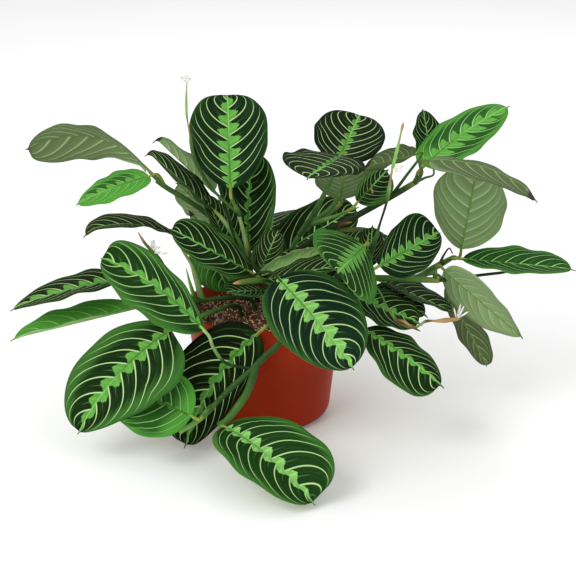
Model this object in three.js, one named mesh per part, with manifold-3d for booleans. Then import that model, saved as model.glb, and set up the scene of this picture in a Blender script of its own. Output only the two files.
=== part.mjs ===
// A potted prayer plant: leafy shoots with broad patterned blades, in a plain plastic nursery pot.
// Millimetres, Z up. The origin is the middle of the pot's foot, which stands on Z = 0, and -Y is the front.
import * as THREE from "three";
import { mergeVertices } from "three/addons/utils/BufferGeometryUtils.js";
import Module from "manifold-3d";

const wasm = await Module();
wasm.setup();

// The pot: a tapered plastic wall with a stiffer rim band and a round bottom corner. It stands on a flat
// ring and a flat pad in the middle, and the floor between them is raised, with the drain holes in it.
const POT_HEIGHT = 118;
const RIM_RADIUS = 81;
const FOOT_RADIUS = 66;
const WALL = 2;
const BAND_HEIGHT = 19;
const BAND_STEP = 1.4;
const CORNER_RADIUS = 12;
const CORNER_STEPS = 5;
const RIM_ROUNDING = 0.8;
const FOOT_RING = 4;
const FOOT_PAD = 22;
const FLOOR_RISE = 4;
const FLOOR_THICKNESS = 2.4;
const FLOOR_FILLET = 2;
const POT_SIDES = 48;
const DRAIN_COUNT = 6;
const DRAIN_RADIUS = 5;
const DRAIN_SIDES = 10;
const DRAIN_RING = 36;

// The soil: a coir mix that fills the pot to below its rim, a little mounded round the crown.
const SOIL_LEVEL = 105;
const SOIL_MOUND = 5;
const SOIL_RINGS = 5;
const SOIL_SIDES = 24;
const SOIL_BUMP = 1.2;
const SOIL_BUMP_SPAN = [30, 37];
const HOLE_DEPTH = 26;
const HOLE_SIDES = 10;
const HOLE_ROOM = 0.5;
const FOOT_DEPTH = 22;
const FOOT_RISE = 5;
const FOOT_SWELL = 0.5;
const FOOT_OVERLAP = 2;

// The gap that touching pieces keep, and how thick and finely divided a blade is.
const GAP = 0.3;
const BLADE = 0.9;
const BLADE_END = 1.3;
const STATIONS = [0, 0.05, 0.16, 0.32, 0.5, 0.68, 0.84, 0.95, 1];
const LANES = [-1, -0.5, 0, 0.5, 1];

// Stalks: how thick a leaf stalk is, and how far it runs straight before its blade.
const STALK_RADIUS = 1.4;
const STALK_RUN = 9;
const ROOT_DEPTH = 1.5;
const TUBE_STEP = 18;
const STEM_SIDES = 6;
const STALK_SIDES = 5;
const FLOWER_STALK_RADIUS = 0.9;
const BRANCH_RADIUS = 2.2;

// Blooms: three narrow petals that open upwards from the tip of a flower stalk.
const PETALS = 3;
const PETAL_LENGTH = 6.8;
const PETAL_WIDTH = 3;
const PETAL_THICKNESS = 1.6;
const PETAL_REACH = 2.4;
const PETAL_LIFT = 35;

const degrees = THREE.MathUtils.degToRad;
const vector = (p) => new THREE.Vector3(...p);

// Each leaf is its name, where its blade starts, where it ends, its width, its pose and its stalk's route.
// The pose is in degrees and millimetres: roll turns the blade about its own length, and a positive roll
// lifts the side that is on the right when looking from stalk to tip. arch bows the midrib to the upper
// face, bend bows it to the right, left and right fold each half up from the midrib, and wave ripples the
// margin. broadest is how far along its length the blade is widest; skew moves that towards the tip on the
// right and towards the stalk on the left, and offset makes the right half wider and the left one narrower.
// A taper over 1 draws the ends out.
const POSE = {
  roll: 0, arch: 0, bend: 0, left: 8, right: 8, wave: 1.2, broadest: 0.55, skew: 0, offset: 0, taper: 1,
};
const leaf = (name, base, tip, width, pose, stalk) => ({ name, base, tip, width, stalk, ...POSE, ...pose });

// Each shoot has a hole in the soil, a stem that rises from it, side branches and leaves.
const SHOOTS = [
  {
    // Long shoot that leans out to the left and ends in two blades
    name: "left_shoot",
    radius: 2.6,
    hole: [-14, 38],
    stem: [[-17, 36, 126], [-25, 31, 158], [-43, 22, 191], [-69, 12, 218], [-98, 4, 240], [-106, 2, 247]],
    leaves: [
      leaf("left_1", [-116, 3, 259.5], [-234, 15, 278.5], 66,
        { roll: -52, arch: 26, left: -16, right: -14, broadest: 0.72, taper: 1.4 }, [[-100, 3, 242]]),
      leaf("left_2", [-113, -6, 253.5], [-180, -30, 234], 48,
        { roll: 12, arch: 4, bend: -3, broadest: 0.42, skew: -0.06, offset: -0.12, taper: 1.12 },
        [[-98, 4, 240]]),
    ],
  },
  {
    // Low leaves that hang out over the rim on the left
    name: "low_left_shoot",
    radius: 2.4,
    hole: [-10, -1],
    stem: [[-13, -3, 122], [-26, -11, 128], [-46, -20, 130], [-66, -28, 131]],
    leaves: [
      leaf("low_left_1", [-89, 25, 181], [-178, -5, 197], 42,
        { arch: 10, offset: -0.2 }, [[-62, -26, 131], [-72, -4, 157], [-84, 13, 174]]),
      leaf("low_left_2", [-134, -40, 159], [-245, -60, 138], 66,
        { arch: 4, broadest: 0.44, skew: -0.06, offset: -0.06, taper: 1.2 },
        [[-62, -26, 131], [-84, -35, 137], [-112, -41, 149]]),
      leaf("low_left_3", [-124, -55, 134], [-242, -75, 112], 50,
        { left: 25, right: 25, skew: -0.08, taper: 1.15 },
        [[-62, -26, 131], [-84, -42, 131], [-104, -50, 132]]),
    ],
  },
  {
    // Upright leaves at the top, left of the middle
    name: "upper_left_shoot",
    radius: 2.4,
    hole: [-8, 22],
    stem: [[-11, 19, 126], [-15, 16, 142], [-16, 12, 160], [-17, 6, 184], [-24, 2, 211]],
    leaves: [
      leaf("upper_left_1", [-33, 0, 240], [-38, 75, 318], 80, { arch: 4 }, [[-24, 2, 211]]),
      leaf("upper_left_2", [-15, 26, 165], [-9, 50, 263], 58,
        { roll: 4, bend: -5, offset: 0.08 }, [[-15, 16, 142]]),
      leaf("upper_left_3", [-52, 34, 226], [-114, 55, 276], 36,
        { roll: -47, left: 25, right: 25, broadest: 0.3, taper: 1.2 },
        [[-16, 14, 152], [-32, 16, 185], [-47, 27, 211]]),
      leaf("upper_left_4", [-51, 10, 214], [-115, 0, 279], 40,
        { roll: 11, broadest: 0.38, offset: 0.1, taper: 1.15 }, [[-16, 12, 160], [-32, 10, 190]]),
    ],
  },
  {
    // Leaves that hang down over the soil and the wall behind it
    name: "inner_left_shoot",
    radius: 2.2,
    hole: [-22, 54],
    stem: [[-28, 54, 126], [-38, 50, 148]],
    leaves: [
      leaf("inner_left_1", [-66, 28, 183], [-38, 34, 120], 42,
        { roll: 70, offset: -0.2 }, [[-38, 50, 148], [-56, 46, 174]]),
      leaf("inner_left_2", [-48, 36, 194], [-84, 42, 224], 44,
        { roll: -60, offset: 0.3 }, [[-38, 50, 148]]),
    ],
  },
  {
    // Shoot that creeps over the front rim and trails down the pot
    name: "front_shoot",
    radius: 3,
    hole: [20, -12],
    stem: [[20, -18, 121], [22, -42, 127], [24, -72, 130], [24, -92, 125], [15, -103, 115], [2, -107, 104],
      [-10, -109, 92],
      [-32, -112, 72], [-61, -115, 42], [-81, -117, 29]],
    leaves: [
      leaf("front_1", [-57, -98, 128], [-154, -72, 192], 70,
        { roll: 26, arch: 4, bend: 6, broadest: 0.63, skew: 0.13, offset: -0.16 },
        [[-10, -109, 92], [-36, -110, 99], [-48, -105, 114]]),
      leaf("front_2", [-68, -126, 50], [-147, -98, 76], 70,
        { roll: 60, left: 32, right: 6, broadest: 0.42, offset: -0.1 }, [[-50, -114, 55], [-58, -124, 50]]),
      leaf("front_3", [-5, -90, 121], [-76, -98, 8], 72,
        { roll: 65, bend: 10, broadest: 0.47, skew: 0.13, offset: 0.1 }, [[22, -72, 130], [10, -82, 130]]),
      leaf("front_4", [-36, -131, 41], [46, -218, 9], 83,
        { roll: -19, arch: 12, left: 25, right: 20, broadest: 0.62, skew: -0.02, offset: -0.04 },
        [[-6, -108, 96], [-16, -119, 70], [-35, -127, 46]]),
    ],
  },
  {
    // Leaf that leans over the rim at the lower left
    name: "front_left_shoot",
    radius: 2.2,
    hole: [-24, -16],
    stem: [[-25, -18, 120], [-34, -40, 130], [-46, -60, 133]],
    leaves: [
      leaf("front_left_1", [-88, -98, 128], [-176, -125, 35], 86,
        { roll: 55, arch: 8, bend: 7, broadest: 0.52, skew: 0.16, offset: -0.12 }, [[-46, -60, 133]]),
    ],
  },
  {
    // Leaves that fan out of the crown towards the front
    name: "crown_shoot",
    radius: 2.4,
    hole: [8, 4],
    stem: [[6, 0, 126], [2, -6, 140]],
    leaves: [
      leaf("crown_1", [-14, -15, 157], [-89, -40, 210], 54, { roll: 39 }, [[2, -6, 140]]),
      leaf("crown_2", [15, -88, 176], [84, -134, 106], 88,
        { roll: -31, arch: 6, broadest: 0.47, skew: -0.04 }, [[2, -6, 140], [-10, -42, 162]]),
      leaf("crown_3", [2, -42, 158], [71, -68, 182], 50, { roll: -11 }, [[2, -6, 140]]),
      leaf("crown_4", [-2, -9, 151], [60, -37, 186], 34,
        { roll: 31, left: 50, right: 50, offset: -0.3 }, [[2, -6, 140]]),
      leaf("crown_5", [4, -18, 138], [-35, -50, 149], 40, { roll: 8 }, [[6, 0, 126]]),
    ],
  },
  {
    // Thick shoot that crosses to the upper right
    name: "upper_right_shoot",
    radius: 3.2,
    hole: [8, 38],
    stem: [[7, 34, 126], [26, 22, 160], [66, 11, 193], [81, 8, 202], [126, 2, 230], [152, 0, 247]],
    leaves: [
      leaf("upper_right_1", [158, -5, 264], [242, 35, 314], 58,
        { roll: -20, bend: -5, left: -12, right: -5, broadest: 0.45, offset: 0.1 }, [[150, 0, 245]]),
      leaf("upper_right_2", [170, 35, 254], [160, 50, 307], 36,
        { roll: -6, broadest: 0.44, offset: -0.06, taper: 1.2 }, [[150, 0, 245], [160, 14, 246]]),
      leaf("upper_right_3", [160, -36, 278], [260, -54, 249], 64,
        { roll: 180, arch: -10, broadest: 0.45 }, [[150, 0, 245], [154, -22, 262]]),
      leaf("upper_right_4", [148, -10, 277], [98, -42, 274], 44,
        { roll: -45 }, [[126, 2, 230], [140, 3, 250]]),
      leaf("upper_right_5", [-1, 45, 144], [94, 60, 201], 66, { roll: -40 }, [[7, 34, 126]]),
    ],
  },
  {
    // Upright leaves above the middle
    name: "upper_shoot",
    radius: 2.4,
    hole: [20, 18],
    stem: [[21, 15, 126], [26, 8, 156], [32, 0, 185], [46, -5, 203]],
    leaves: [
      leaf("upper_1", [73, -6, 268], [100, 78, 296], 73,
        { roll: -12, skew: -0.04, offset: 0 }, [[46, -5, 203], [71, 5, 223], [78, 4, 245]]),
      leaf("upper_2", [74, -40, 284], [44, -125, 289], 70,
        { roll: 10, skew: 0.08, taper: 1.2 }, [[36, -2, 192], [50, -30, 224], [62, -42, 253]]),
      leaf("upper_3", [79, 50, 213], [78, 0, 260], 64, { offset: -0.12 }, [[46, -5, 203]]),
      leaf("upper_4", [93, -8, 228], [121, 2, 257], 32, { roll: -60, offset: 0.25 }, [[46, -5, 203]]),
    ],
  },
  {
    // Low shoot that reaches out to the right
    name: "right_shoot",
    radius: 2.8,
    hole: [34, 0],
    stem: [[38, -6, 126], [46, -13, 142], [66, -20, 150], [108, -25, 154], [145, -28, 154], [174, -29, 153]],
    branch: [[155, -28, 154], [167, -12, 159], [190, 2, 166]],
    leaves: [
      leaf("right_1", [98, -60, 200], [70, -134, 200], 86,
        { roll: 34, left: -18, right: -4, broadest: 0.575, skew: -0.1 }, [[66, -20, 150], [98, -30, 180]]),
      leaf("right_2", [112, -60, 179], [174, -15, 199], 58,
        { roll: -38, skew: -0.14, offset: -0.03 }, [[66, -20, 150]]),
      leaf("right_3", [98, -98, 128], [168, -128, 85], 66,
        { roll: -15, arch: 3, left: -13, right: -14, skew: 0.1 }, [[60, -18, 148], [76, -58, 152]]),
      leaf("right_4", [85, -50, 146], [151, -66, 123], 58, { roll: -11, offset: 0.12 }, [[60, -18, 148]]),
      leaf("right_5", [200, 12, 172], [210, -4, 260], 73,
        { roll: 30, broadest: 0.56, skew: 0.1, offset: -0.02 }, [[190, 2, 166]]),
      leaf("right_6", [198, -22, 173], [301, -45, 171], 64,
        { roll: -5, broadest: 0.5, taper: 1.1 }, [[178, -5, 162]]),
      leaf("right_7", [179, -30, 164], [254, -55, 105], 54,
        { roll: 75, right: -12, broadest: 0.38, skew: -0.08, offset: -0.1, taper: 1.3 }, [[170, -28, 153]]),
      leaf("right_8", [122, -12, 144], [188, -30, 120], 54,
        { roll: 7, broadest: 0.45, offset: 0.15 }, [[90, -23, 153]]),
      leaf("right_9", [186, 6, 133], [229, -4, 52], 42,
        { roll: 56, broadest: 0.6, offset: -0.1 }, [[145, -28, 154], [176, 8, 146]]),
    ],
  },
  {
    // Leaves at the back, which lean out over the far rim
    name: "back_shoot",
    radius: 2.4,
    hole: [6, 60],
    stem: [[6, 62, 126], [6, 65, 142]],
    leaves: [
      leaf("back_1", [-25, 74, 165], [-75, 150, 150], 62, { arch: 8 }, [[6, 65, 142]]),
      leaf("back_2", [6, 84, 168], [5, 185, 150], 66, { arch: 10 }, [[6, 65, 142]]),
      leaf("back_3", [44, 76, 160], [88, 160, 140], 60, { arch: 8 }, [[6, 65, 142]]),
      leaf("back_4", [82, 52, 158], [145, 92, 150], 56, { arch: 8 }, [[6, 63, 134], [50, 58, 148]]),
    ],
  },
];

// Flower stalks: the shoot that each grows from, its route, and the small white bloom that it carries. The
// bloom sits beside it at a share of its length, or on its tip at 1, and faces the way that is given.
const FLOWER_STALKS = [
  {
    shoot: "upper_left_shoot",
    route: [[-24, 2, 211], [-52, 6, 238], [-69, 10, 269], [-73, 15, 290], [-76, 18, 310], [-76, 20, 329],
      [-75, 20, 342]],
    bloomAt: 1,
    bloomFaces: [0, 0, 1],
  },
  {
    shoot: "right_shoot",
    route: [[100, -24, 153], [104, -18, 166], [108, -20, 184], [114, -26, 210], [120, -36, 238],
      [123, -48, 270], [128, -54, 298], [132, -56, 320]],
    bloomAt: 0.76,
    bloomFaces: [1, -0.2, 0.3],
  },
  {
    shoot: "low_left_shoot",
    route: [[-64, -27, 131], [-80, -27, 139], [-93, -29, 157], [-104, -34, 179], [-116, -38, 195],
      [-122, -40, 207]],
    bloomAt: 0.84,
    bloomFaces: [1, -0.3, 0.4],
  },
  {
    shoot: "right_shoot",
    route: [[100, -24, 153], [108, -38, 153], [114, -60, 151], [121, -82, 142], [130, -90, 132],
      [145, -88, 126],
      [158, -74, 127], [173, -60, 122], [194, -52, 121]],
    bloomAt: 0.97,
    bloomFaces: [0.6, 0.2, 0.8],
  },
];

// The smooth curve through the points, and how many straight steps a tube along it has.
function pathOf(points) {
  const curve = new THREE.CatmullRomCurve3(points.map(vector), false, "centripetal");
  return { curve, steps: Math.max(3, Math.round(curve.getLength() / TUBE_STEP)) };
}

// A closed tube with few sides along a smooth curve through the points.
function tube(points, radius, sides) {
  const { curve, steps } = pathOf(points);
  const section = new THREE.Shape(
    Array.from({ length: sides }, (_, i) => {
      const turn = (2 * Math.PI * i) / sides;
      return new THREE.Vector2(radius * Math.cos(turn), radius * Math.sin(turn));
    }),
  );
  return new THREE.ExtrudeGeometry(section, { steps, extrudePath: curve });
}

// A solid that can be joined and cut, and back again to a three.js geometry.
function solid(geometry) {
  const bare = geometry.clone();
  bare.deleteAttribute("normal");
  bare.deleteAttribute("uv");
  const merged = mergeVertices(bare, 1e-4);
  return new wasm.Manifold(
    new wasm.Mesh({
      numProp: 3,
      vertProperties: merged.attributes.position.array,
      triVerts: new Uint32Array(merged.index.array),
    }),
  );
}

function geometryOf(manifold) {
  const mesh = manifold.getMesh();
  const geometry = new THREE.BufferGeometry();
  geometry.setAttribute("position", new THREE.BufferAttribute(mesh.vertProperties, 3));
  geometry.setIndex(new THREE.BufferAttribute(mesh.triVerts, 1));
  return geometry;
}

// The blade's own directions: along it, out to its right and up from its upper face.
function bladeFrame({ base, tip, roll }) {
  const along = vector(tip).sub(vector(base)).normalize();
  const level = along.clone().cross(new THREE.Vector3(0, 0, 1)).normalize();
  const right = level.applyAxisAngle(along, -degrees(roll));
  const up = right.clone().cross(along);
  return { along, right, up };
}

// How far the margin is from the midrib at u, which runs from 0 at the stalk to 1 at the tip, on v's side.
function halfWidth({ width, broadest, skew, offset, taper }, u, v) {
  const side = Math.sign(v);
  const widest = broadest + skew * side;
  const share = (u / widest) ** widest * ((1 - u) / (1 - widest)) ** (1 - widest);
  return BLADE_END + ((width / 2) * (1 + offset * side) - BLADE_END) * share ** taper;
}

// A point of the blade's middle surface at u along it and v across it, from -1 on the left to 1.
function bladePoint(leafData, u, v) {
  const { base, tip, arch, bend, left, right, wave } = leafData;
  const frame = bladeFrame(leafData);
  const bow = 4 * u * (1 - u);
  const point = vector(base)
    .lerp(vector(tip), u)
    .addScaledVector(frame.up, arch * bow)
    .addScaledVector(frame.right, bend * bow);
  const heading = vector(tip)
    .sub(vector(base))
    .addScaledVector(frame.up, arch * 4 * (1 - 2 * u))
    .addScaledVector(frame.right, bend * 4 * (1 - 2 * u))
    .normalize();
  const up = frame.right.clone().cross(heading).normalize();
  const across = heading.clone().cross(up);
  const out = Math.abs(v);
  const reach = halfWidth(leafData, u, v) * out;
  const lift = degrees(v < 0 ? left : right);
  const ripple = wave * out * out * Math.sin(Math.PI * u) * Math.sin(5 * Math.PI * u + (v < 0 ? 1 : 3));
  return point
    .addScaledVector(across, Math.sign(v) * reach * Math.cos(lift))
    .addScaledVector(up, reach * Math.sin(lift) + ripple);
}

// The direction that the blade's upper face looks in at u and v.
function bladeNormal(leafData, u, v) {
  const step = 0.02;
  const at = THREE.MathUtils.clamp(u, step, 1 - step);
  const ahead = bladePoint(leafData, at + step, v).sub(bladePoint(leafData, at - step, v));
  const [low, high] = [Math.max(v - step, -1), Math.min(v + step, 1)];
  const over = bladePoint(leafData, at, high).sub(bladePoint(leafData, at, low));
  return over.cross(ahead).normalize();
}

// A closed thin blade: its upper and lower faces are split into triangles alike.
function bladeGeometry(leafData) {
  const positions = [];
  for (const face of [0.5, -0.5]) {
    for (const u of STATIONS) {
      for (const v of LANES) {
        const normal = bladeNormal(leafData, u, v);
        positions.push(...bladePoint(leafData, u, v).addScaledVector(normal, face * BLADE));
      }
    }
  }
  const rows = STATIONS.length;
  const lanes = LANES.length;
  const upper = (row, lane) => row * lanes + lane;
  const lower = (row, lane) => rows * lanes + upper(row, lane);
  const index = [];
  for (let row = 0; row < rows - 1; row++) {
    for (let lane = 0; lane < lanes - 1; lane++) {
      const corners = [[row, lane], [row, lane + 1], [row + 1, lane + 1], [row + 1, lane]];
      const [a, b, c, d] = corners.map((corner) => upper(...corner));
      const [e, f, g, h] = corners.map((corner) => lower(...corner));
      index.push(a, b, c, a, c, d, e, g, f, e, h, g);
    }
  }
  const edge = [];
  for (let lane = 0; lane < lanes - 1; lane++) edge.push([0, lane]);
  for (let row = 0; row < rows - 1; row++) edge.push([row, lanes - 1]);
  for (let lane = lanes - 1; lane > 0; lane--) edge.push([rows - 1, lane]);
  for (let row = rows - 1; row > 0; row--) edge.push([row, 0]);
  edge.forEach((corner, i) => {
    const next = edge[(i + 1) % edge.length];
    index.push(upper(...next), upper(...corner), lower(...corner));
    index.push(upper(...next), lower(...corner), lower(...next));
  });
  const geometry = new THREE.BufferGeometry();
  geometry.setAttribute("position", new THREE.Float32BufferAttribute(positions, 3));
  geometry.setIndex(index);
  return geometry;
}

// A route whose first point is set back into the stem that it grows from.
function rooted([first, second, ...rest]) {
  const back = vector(first).sub(vector(second)).setLength(ROOT_DEPTH);
  return [vector(first).add(back).toArray(), second, ...rest];
}

// A leaf's stalk: it leaves the stem, runs in line with the midrib and stops just short of the blade.
function stalk(leafData) {
  const start = bladePoint(leafData, 0, 0);
  const heading = bladePoint(leafData, 0.01, 0).sub(start).normalize();
  const run = start.clone().addScaledVector(heading, -STALK_RUN);
  const end = start.clone().addScaledVector(heading, -GAP);
  return tube(rooted([...leafData.stalk, run.toArray(), end.toArray()]), STALK_RADIUS, STALK_SIDES);
}

// A leafy shoot without its blades: the stem, its branch, the leaf stalks and the flower stalks as one.
function shoot({ name, radius, hole, stem, branch, leaves }) {
  const [x, y] = hole;
  const bottom = SOIL_LEVEL - FOOT_DEPTH;
  const top = SOIL_LEVEL + SOIL_MOUND + FOOT_RISE;
  const wide = radius + FOOT_SWELL;
  const foot = new THREE.CylinderGeometry(wide, wide, top - bottom, STEM_SIDES).rotateX(Math.PI / 2);
  foot.translate(x, y, (top + bottom) / 2);
  const tubes = [foot, tube([[x, y, top - FOOT_OVERLAP], ...stem], radius, STEM_SIDES)];
  if (branch) tubes.push(tube(branch, BRANCH_RADIUS, STEM_SIDES));
  for (const each of leaves) tubes.push(stalk(each));
  for (const each of FLOWER_STALKS) {
    if (each.shoot === name) tubes.push(tube(rooted(each.route), FLOWER_STALK_RADIUS, STALK_SIDES));
  }
  return geometryOf(wasm.Manifold.union(tubes.map(solid)));
}

// The pot's wall radius outside at a height, without the rim band, and inside, a gap clear of the plastic.
const wallRadius = (z) => FOOT_RADIUS + ((RIM_RADIUS - BAND_STEP - FOOT_RADIUS) * z) / POT_HEIGHT;
const insideRadius = (z) => wallRadius(z) - WALL - GAP;
const FLOOR_TOP = FLOOR_RISE + FLOOR_THICKNESS;
const CORNER_CENTRE = wallRadius(CORNER_RADIUS) - CORNER_RADIUS;

// The round bottom corner from the foot up to the wall, as radius and height, set in from the outside.
function corner(inset) {
  const points = [];
  for (let i = 0; i <= CORNER_STEPS; i++) {
    const turn = degrees(-90 + (90 * i) / CORNER_STEPS);
    const radius = CORNER_RADIUS - inset;
    points.push([CORNER_CENTRE + radius * Math.cos(turn), CORNER_RADIUS + radius * Math.sin(turn)]);
  }
  return points;
}

// A solid turned about the vertical axis from a profile of radius and height.
function turned(profile, sides) {
  const outline = profile.map(([radius, height]) => new THREE.Vector2(radius, height));
  return new THREE.LatheGeometry(outline, sides).rotateX(Math.PI / 2);
}

// An upright round cutter with its middle at the place.
function drill(radius, length, sides, place) {
  const cutter = new THREE.CylinderGeometry(radius, radius, length, sides);
  return solid(cutter.rotateX(Math.PI / 2).translate(...place));
}

// The pot: a turned profile with the drain holes cut through its floor.
function pot() {
  const bandFoot = POT_HEIGHT - BAND_HEIGHT;
  const profile = [
    [0, 0],
    [FOOT_PAD, 0],
    [FOOT_PAD + FLOOR_RISE, FLOOR_RISE],
    [CORNER_CENTRE - 2 * FOOT_RING, FLOOR_RISE],
    [CORNER_CENTRE - FOOT_RING, 0],
    ...corner(0),
    [wallRadius(bandFoot), bandFoot],
    [wallRadius(bandFoot) + BAND_STEP, bandFoot + RIM_ROUNDING],
    [RIM_RADIUS, POT_HEIGHT - RIM_ROUNDING],
    [RIM_RADIUS - RIM_ROUNDING, POT_HEIGHT],
    [RIM_RADIUS - BAND_STEP - WALL, POT_HEIGHT],
    ...corner(WALL).filter(([, z]) => z > FLOOR_TOP + GAP).reverse(),
    [CORNER_CENTRE - FLOOR_FILLET, FLOOR_TOP],
    [FOOT_PAD + FLOOR_RISE, FLOOR_TOP],
    [FOOT_PAD, FLOOR_THICKNESS],
    [0, FLOOR_THICKNESS],
  ];
  let body = solid(turned(profile, POT_SIDES));
  for (let i = 0; i < DRAIN_COUNT; i++) {
    const turn = (2 * Math.PI * i) / DRAIN_COUNT;
    const place = [DRAIN_RING * Math.cos(turn), DRAIN_RING * Math.sin(turn), FLOOR_RISE];
    body = body.subtract(drill(DRAIN_RADIUS, 4 * FLOOR_TOP, DRAIN_SIDES, place));
  }
  return geometryOf(body);
}

// The soil: it fills the pot's inside, a gap clear of the wall, with a plain hole for each shoot.
function soil() {
  const profile = [
    [0, FLOOR_THICKNESS + GAP],
    [FOOT_PAD - GAP, FLOOR_THICKNESS + GAP],
    [FOOT_PAD + FLOOR_RISE - GAP, FLOOR_TOP + GAP],
    [CORNER_CENTRE - FLOOR_FILLET, FLOOR_TOP + GAP],
    ...corner(WALL + 2 * GAP).filter(([, z]) => z > FLOOR_TOP + 2 * GAP),
  ];
  for (let i = SOIL_RINGS; i >= 0; i--) {
    const share = i / SOIL_RINGS;
    profile.push([insideRadius(SOIL_LEVEL) * share, SOIL_LEVEL + SOIL_MOUND * (1 - share * share)]);
  }
  const heap = turned(profile, SOIL_SIDES);
  const place = heap.getAttribute("position");
  const [spanX, spanY] = SOIL_BUMP_SPAN;
  for (let i = 0; i < place.count; i++) {
    const [x, y, z] = [place.getX(i), place.getY(i), place.getZ(i)];
    if (z <= SOIL_LEVEL) continue;
    const bump = Math.sin((2 * Math.PI * x) / spanX) * Math.cos((2 * Math.PI * y) / spanY);
    place.setZ(i, z + SOIL_BUMP * bump);
  }
  let body = solid(heap);
  for (const { hole, radius } of SHOOTS) {
    const bore = radius + FOOT_SWELL + HOLE_ROOM;
    body = body.subtract(drill(bore, 2 * HOLE_DEPTH, HOLE_SIDES, [...hole, SOIL_LEVEL]));
  }
  return geometryOf(body);
}

// A small bloom: its petals meet in the middle, open away from the stalk and sit a gap clear of it.
function bloom({ route, bloomAt, bloomFaces }) {
  const { curve, steps } = pathOf(rooted(route));
  const faces = vector(bloomFaces).normalize();
  const below = (PETAL_LENGTH / 2 - PETAL_REACH) * Math.sin(degrees(PETAL_LIFT));
  const seat = GAP + below + (bloomAt < 1 ? FLOWER_STALK_RADIUS : 0);
  const place = curve.getSpacedPoints(steps)[Math.round(bloomAt * steps)].addScaledVector(faces, seat);
  const turn = new THREE.Quaternion().setFromUnitVectors(new THREE.Vector3(0, 0, 1), faces);
  const petals = Array.from({ length: PETALS }, (_, i) =>
    solid(
      new THREE.OctahedronGeometry(0.5)
        .scale(PETAL_LENGTH, PETAL_WIDTH, PETAL_THICKNESS)
        .translate(PETAL_REACH, 0, 0)
        .rotateY(degrees(-PETAL_LIFT))
        .rotateZ((2 * Math.PI * i) / PETALS)
        .applyQuaternion(turn)
        .translate(...place),
    ),
  );
  return geometryOf(wasm.Manifold.union(petals));
}

const material = (color, roughness) => new THREE.MeshStandardMaterial({ color, roughness, metalness: 0 });
const potPlastic = material("#93301c", 0.55);
const coir = material("#4a3023", 0.95);
const bladeGreen = material("#2c5a2c", 0.5);
const stemGreen = material("#4f7a3a", 0.5);
const petalWhite = material("#f4f3ee", 0.6);

const group = new THREE.Group();

function add(name, geometry, finish) {
  const mesh = new THREE.Mesh(geometry, finish);
  mesh.name = name;
  group.add(mesh);
}

add("pot", pot(), potPlastic);
add("soil", soil(), coir);
for (const each of SHOOTS) {
  add(each.name, shoot(each), stemGreen);
  for (const blade of each.leaves) add(`leaf_${blade.name}`, bladeGeometry(blade), bladeGreen);
}
FLOWER_STALKS.forEach((each, i) => add(`bloom_${i + 1}`, bloom(each), petalWhite));

export default group;
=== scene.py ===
import math

import bpy
import numpy as np
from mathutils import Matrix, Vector


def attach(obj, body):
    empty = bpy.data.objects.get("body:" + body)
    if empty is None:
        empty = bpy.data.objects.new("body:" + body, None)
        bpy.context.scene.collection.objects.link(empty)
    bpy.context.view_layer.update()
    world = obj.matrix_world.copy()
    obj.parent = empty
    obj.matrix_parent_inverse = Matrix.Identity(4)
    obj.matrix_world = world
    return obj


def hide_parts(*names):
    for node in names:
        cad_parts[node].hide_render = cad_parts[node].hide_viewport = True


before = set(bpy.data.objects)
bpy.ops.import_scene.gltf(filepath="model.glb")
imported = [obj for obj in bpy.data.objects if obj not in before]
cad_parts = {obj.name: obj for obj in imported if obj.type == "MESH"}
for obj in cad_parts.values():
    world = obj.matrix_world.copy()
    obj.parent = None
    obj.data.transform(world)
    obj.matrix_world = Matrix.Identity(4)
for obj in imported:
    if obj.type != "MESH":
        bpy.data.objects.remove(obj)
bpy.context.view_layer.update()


# Camera: level with a seated person's eyes, about a metre and a half in front of the pot, looking
# down on it a little through a long lens, as in the photograph.
CAMERA_PLACE = (0.024, -1.389, 0.648)
CAMERA_DOWN = math.radians(20.3)
CAMERA_LENS, CAMERA_SENSOR, CAMERA_REACH = 91.0, 36, 20

camera = bpy.data.objects.new("camera", bpy.data.cameras.new("camera"))
bpy.context.scene.collection.objects.link(camera)
camera.location = CAMERA_PLACE
camera.rotation_euler = (math.pi / 2 - CAMERA_DOWN, 0, 0)
camera.data.sensor_width = CAMERA_SENSOR
camera.data.lens = CAMERA_LENS
camera.data.clip_end = CAMERA_REACH
bpy.context.scene.camera = camera
bpy.context.scene.view_settings.view_transform = "Standard"


# Pot: one thin moulding of terracotta-red polypropylene, with a stiff band round the rim, a rounded
# bottom corner and a foot that is a flat ring and a flat middle pad. Drain holes are in the floor
# between. Sizes here and in the sections below are in millimetres, and MM turns them into metres.
MM = 0.001
POT_HEIGHT, RIM_RADIUS, FOOT_RADIUS = 118, 81, 66
WALL, BAND_HEIGHT, BAND_STEP = 2, 19, 1.4
CORNER_RADIUS, CORNER_STEPS = 12, 12
RIM_ROUNDING = 0.8
FOOT_RING, FOOT_PAD = 4, 22
FLOOR_RISE, FLOOR_THICKNESS = 4, 2.4
FLOOR_INSET, FLOOR_CLEAR = 2, 0.3
DRAIN_COUNT, DRAIN_RADIUS, DRAIN_RING = 6, 5, 36
DRILL_FROM, DRILL_TO, DRILL_SIDES = -5, 15, 24
POT_SIDES = 160
POT_CREASE = math.radians(40)
PLASTIC_BUMP = 0.2
# How the band stands out at its foot: shares of its step, each with its height above the foot
BAND_EDGE = [(0, 0), (0.5, 0.1), (0.9, 0.4), (1, 1)]


def shade(code):
    """A colour from its hex code, as the renderer's own linear values."""
    parts = [int(code[i:i + 2], 16) / 255 for i in (1, 3, 5)]
    return tuple(c / 12.92 if c <= 0.04045 else ((c + 0.055) / 1.055) ** 2.4 for c in parts)


# The pot's red as a lit and a shaded tone of one colour; mixed over the wall they paint soft light and
# shade.
POT_LIT, POT_SHADED, POT_SCUFF = shade("#a42c05"), shade("#8a2203"), shade("#d0735a")


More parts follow.
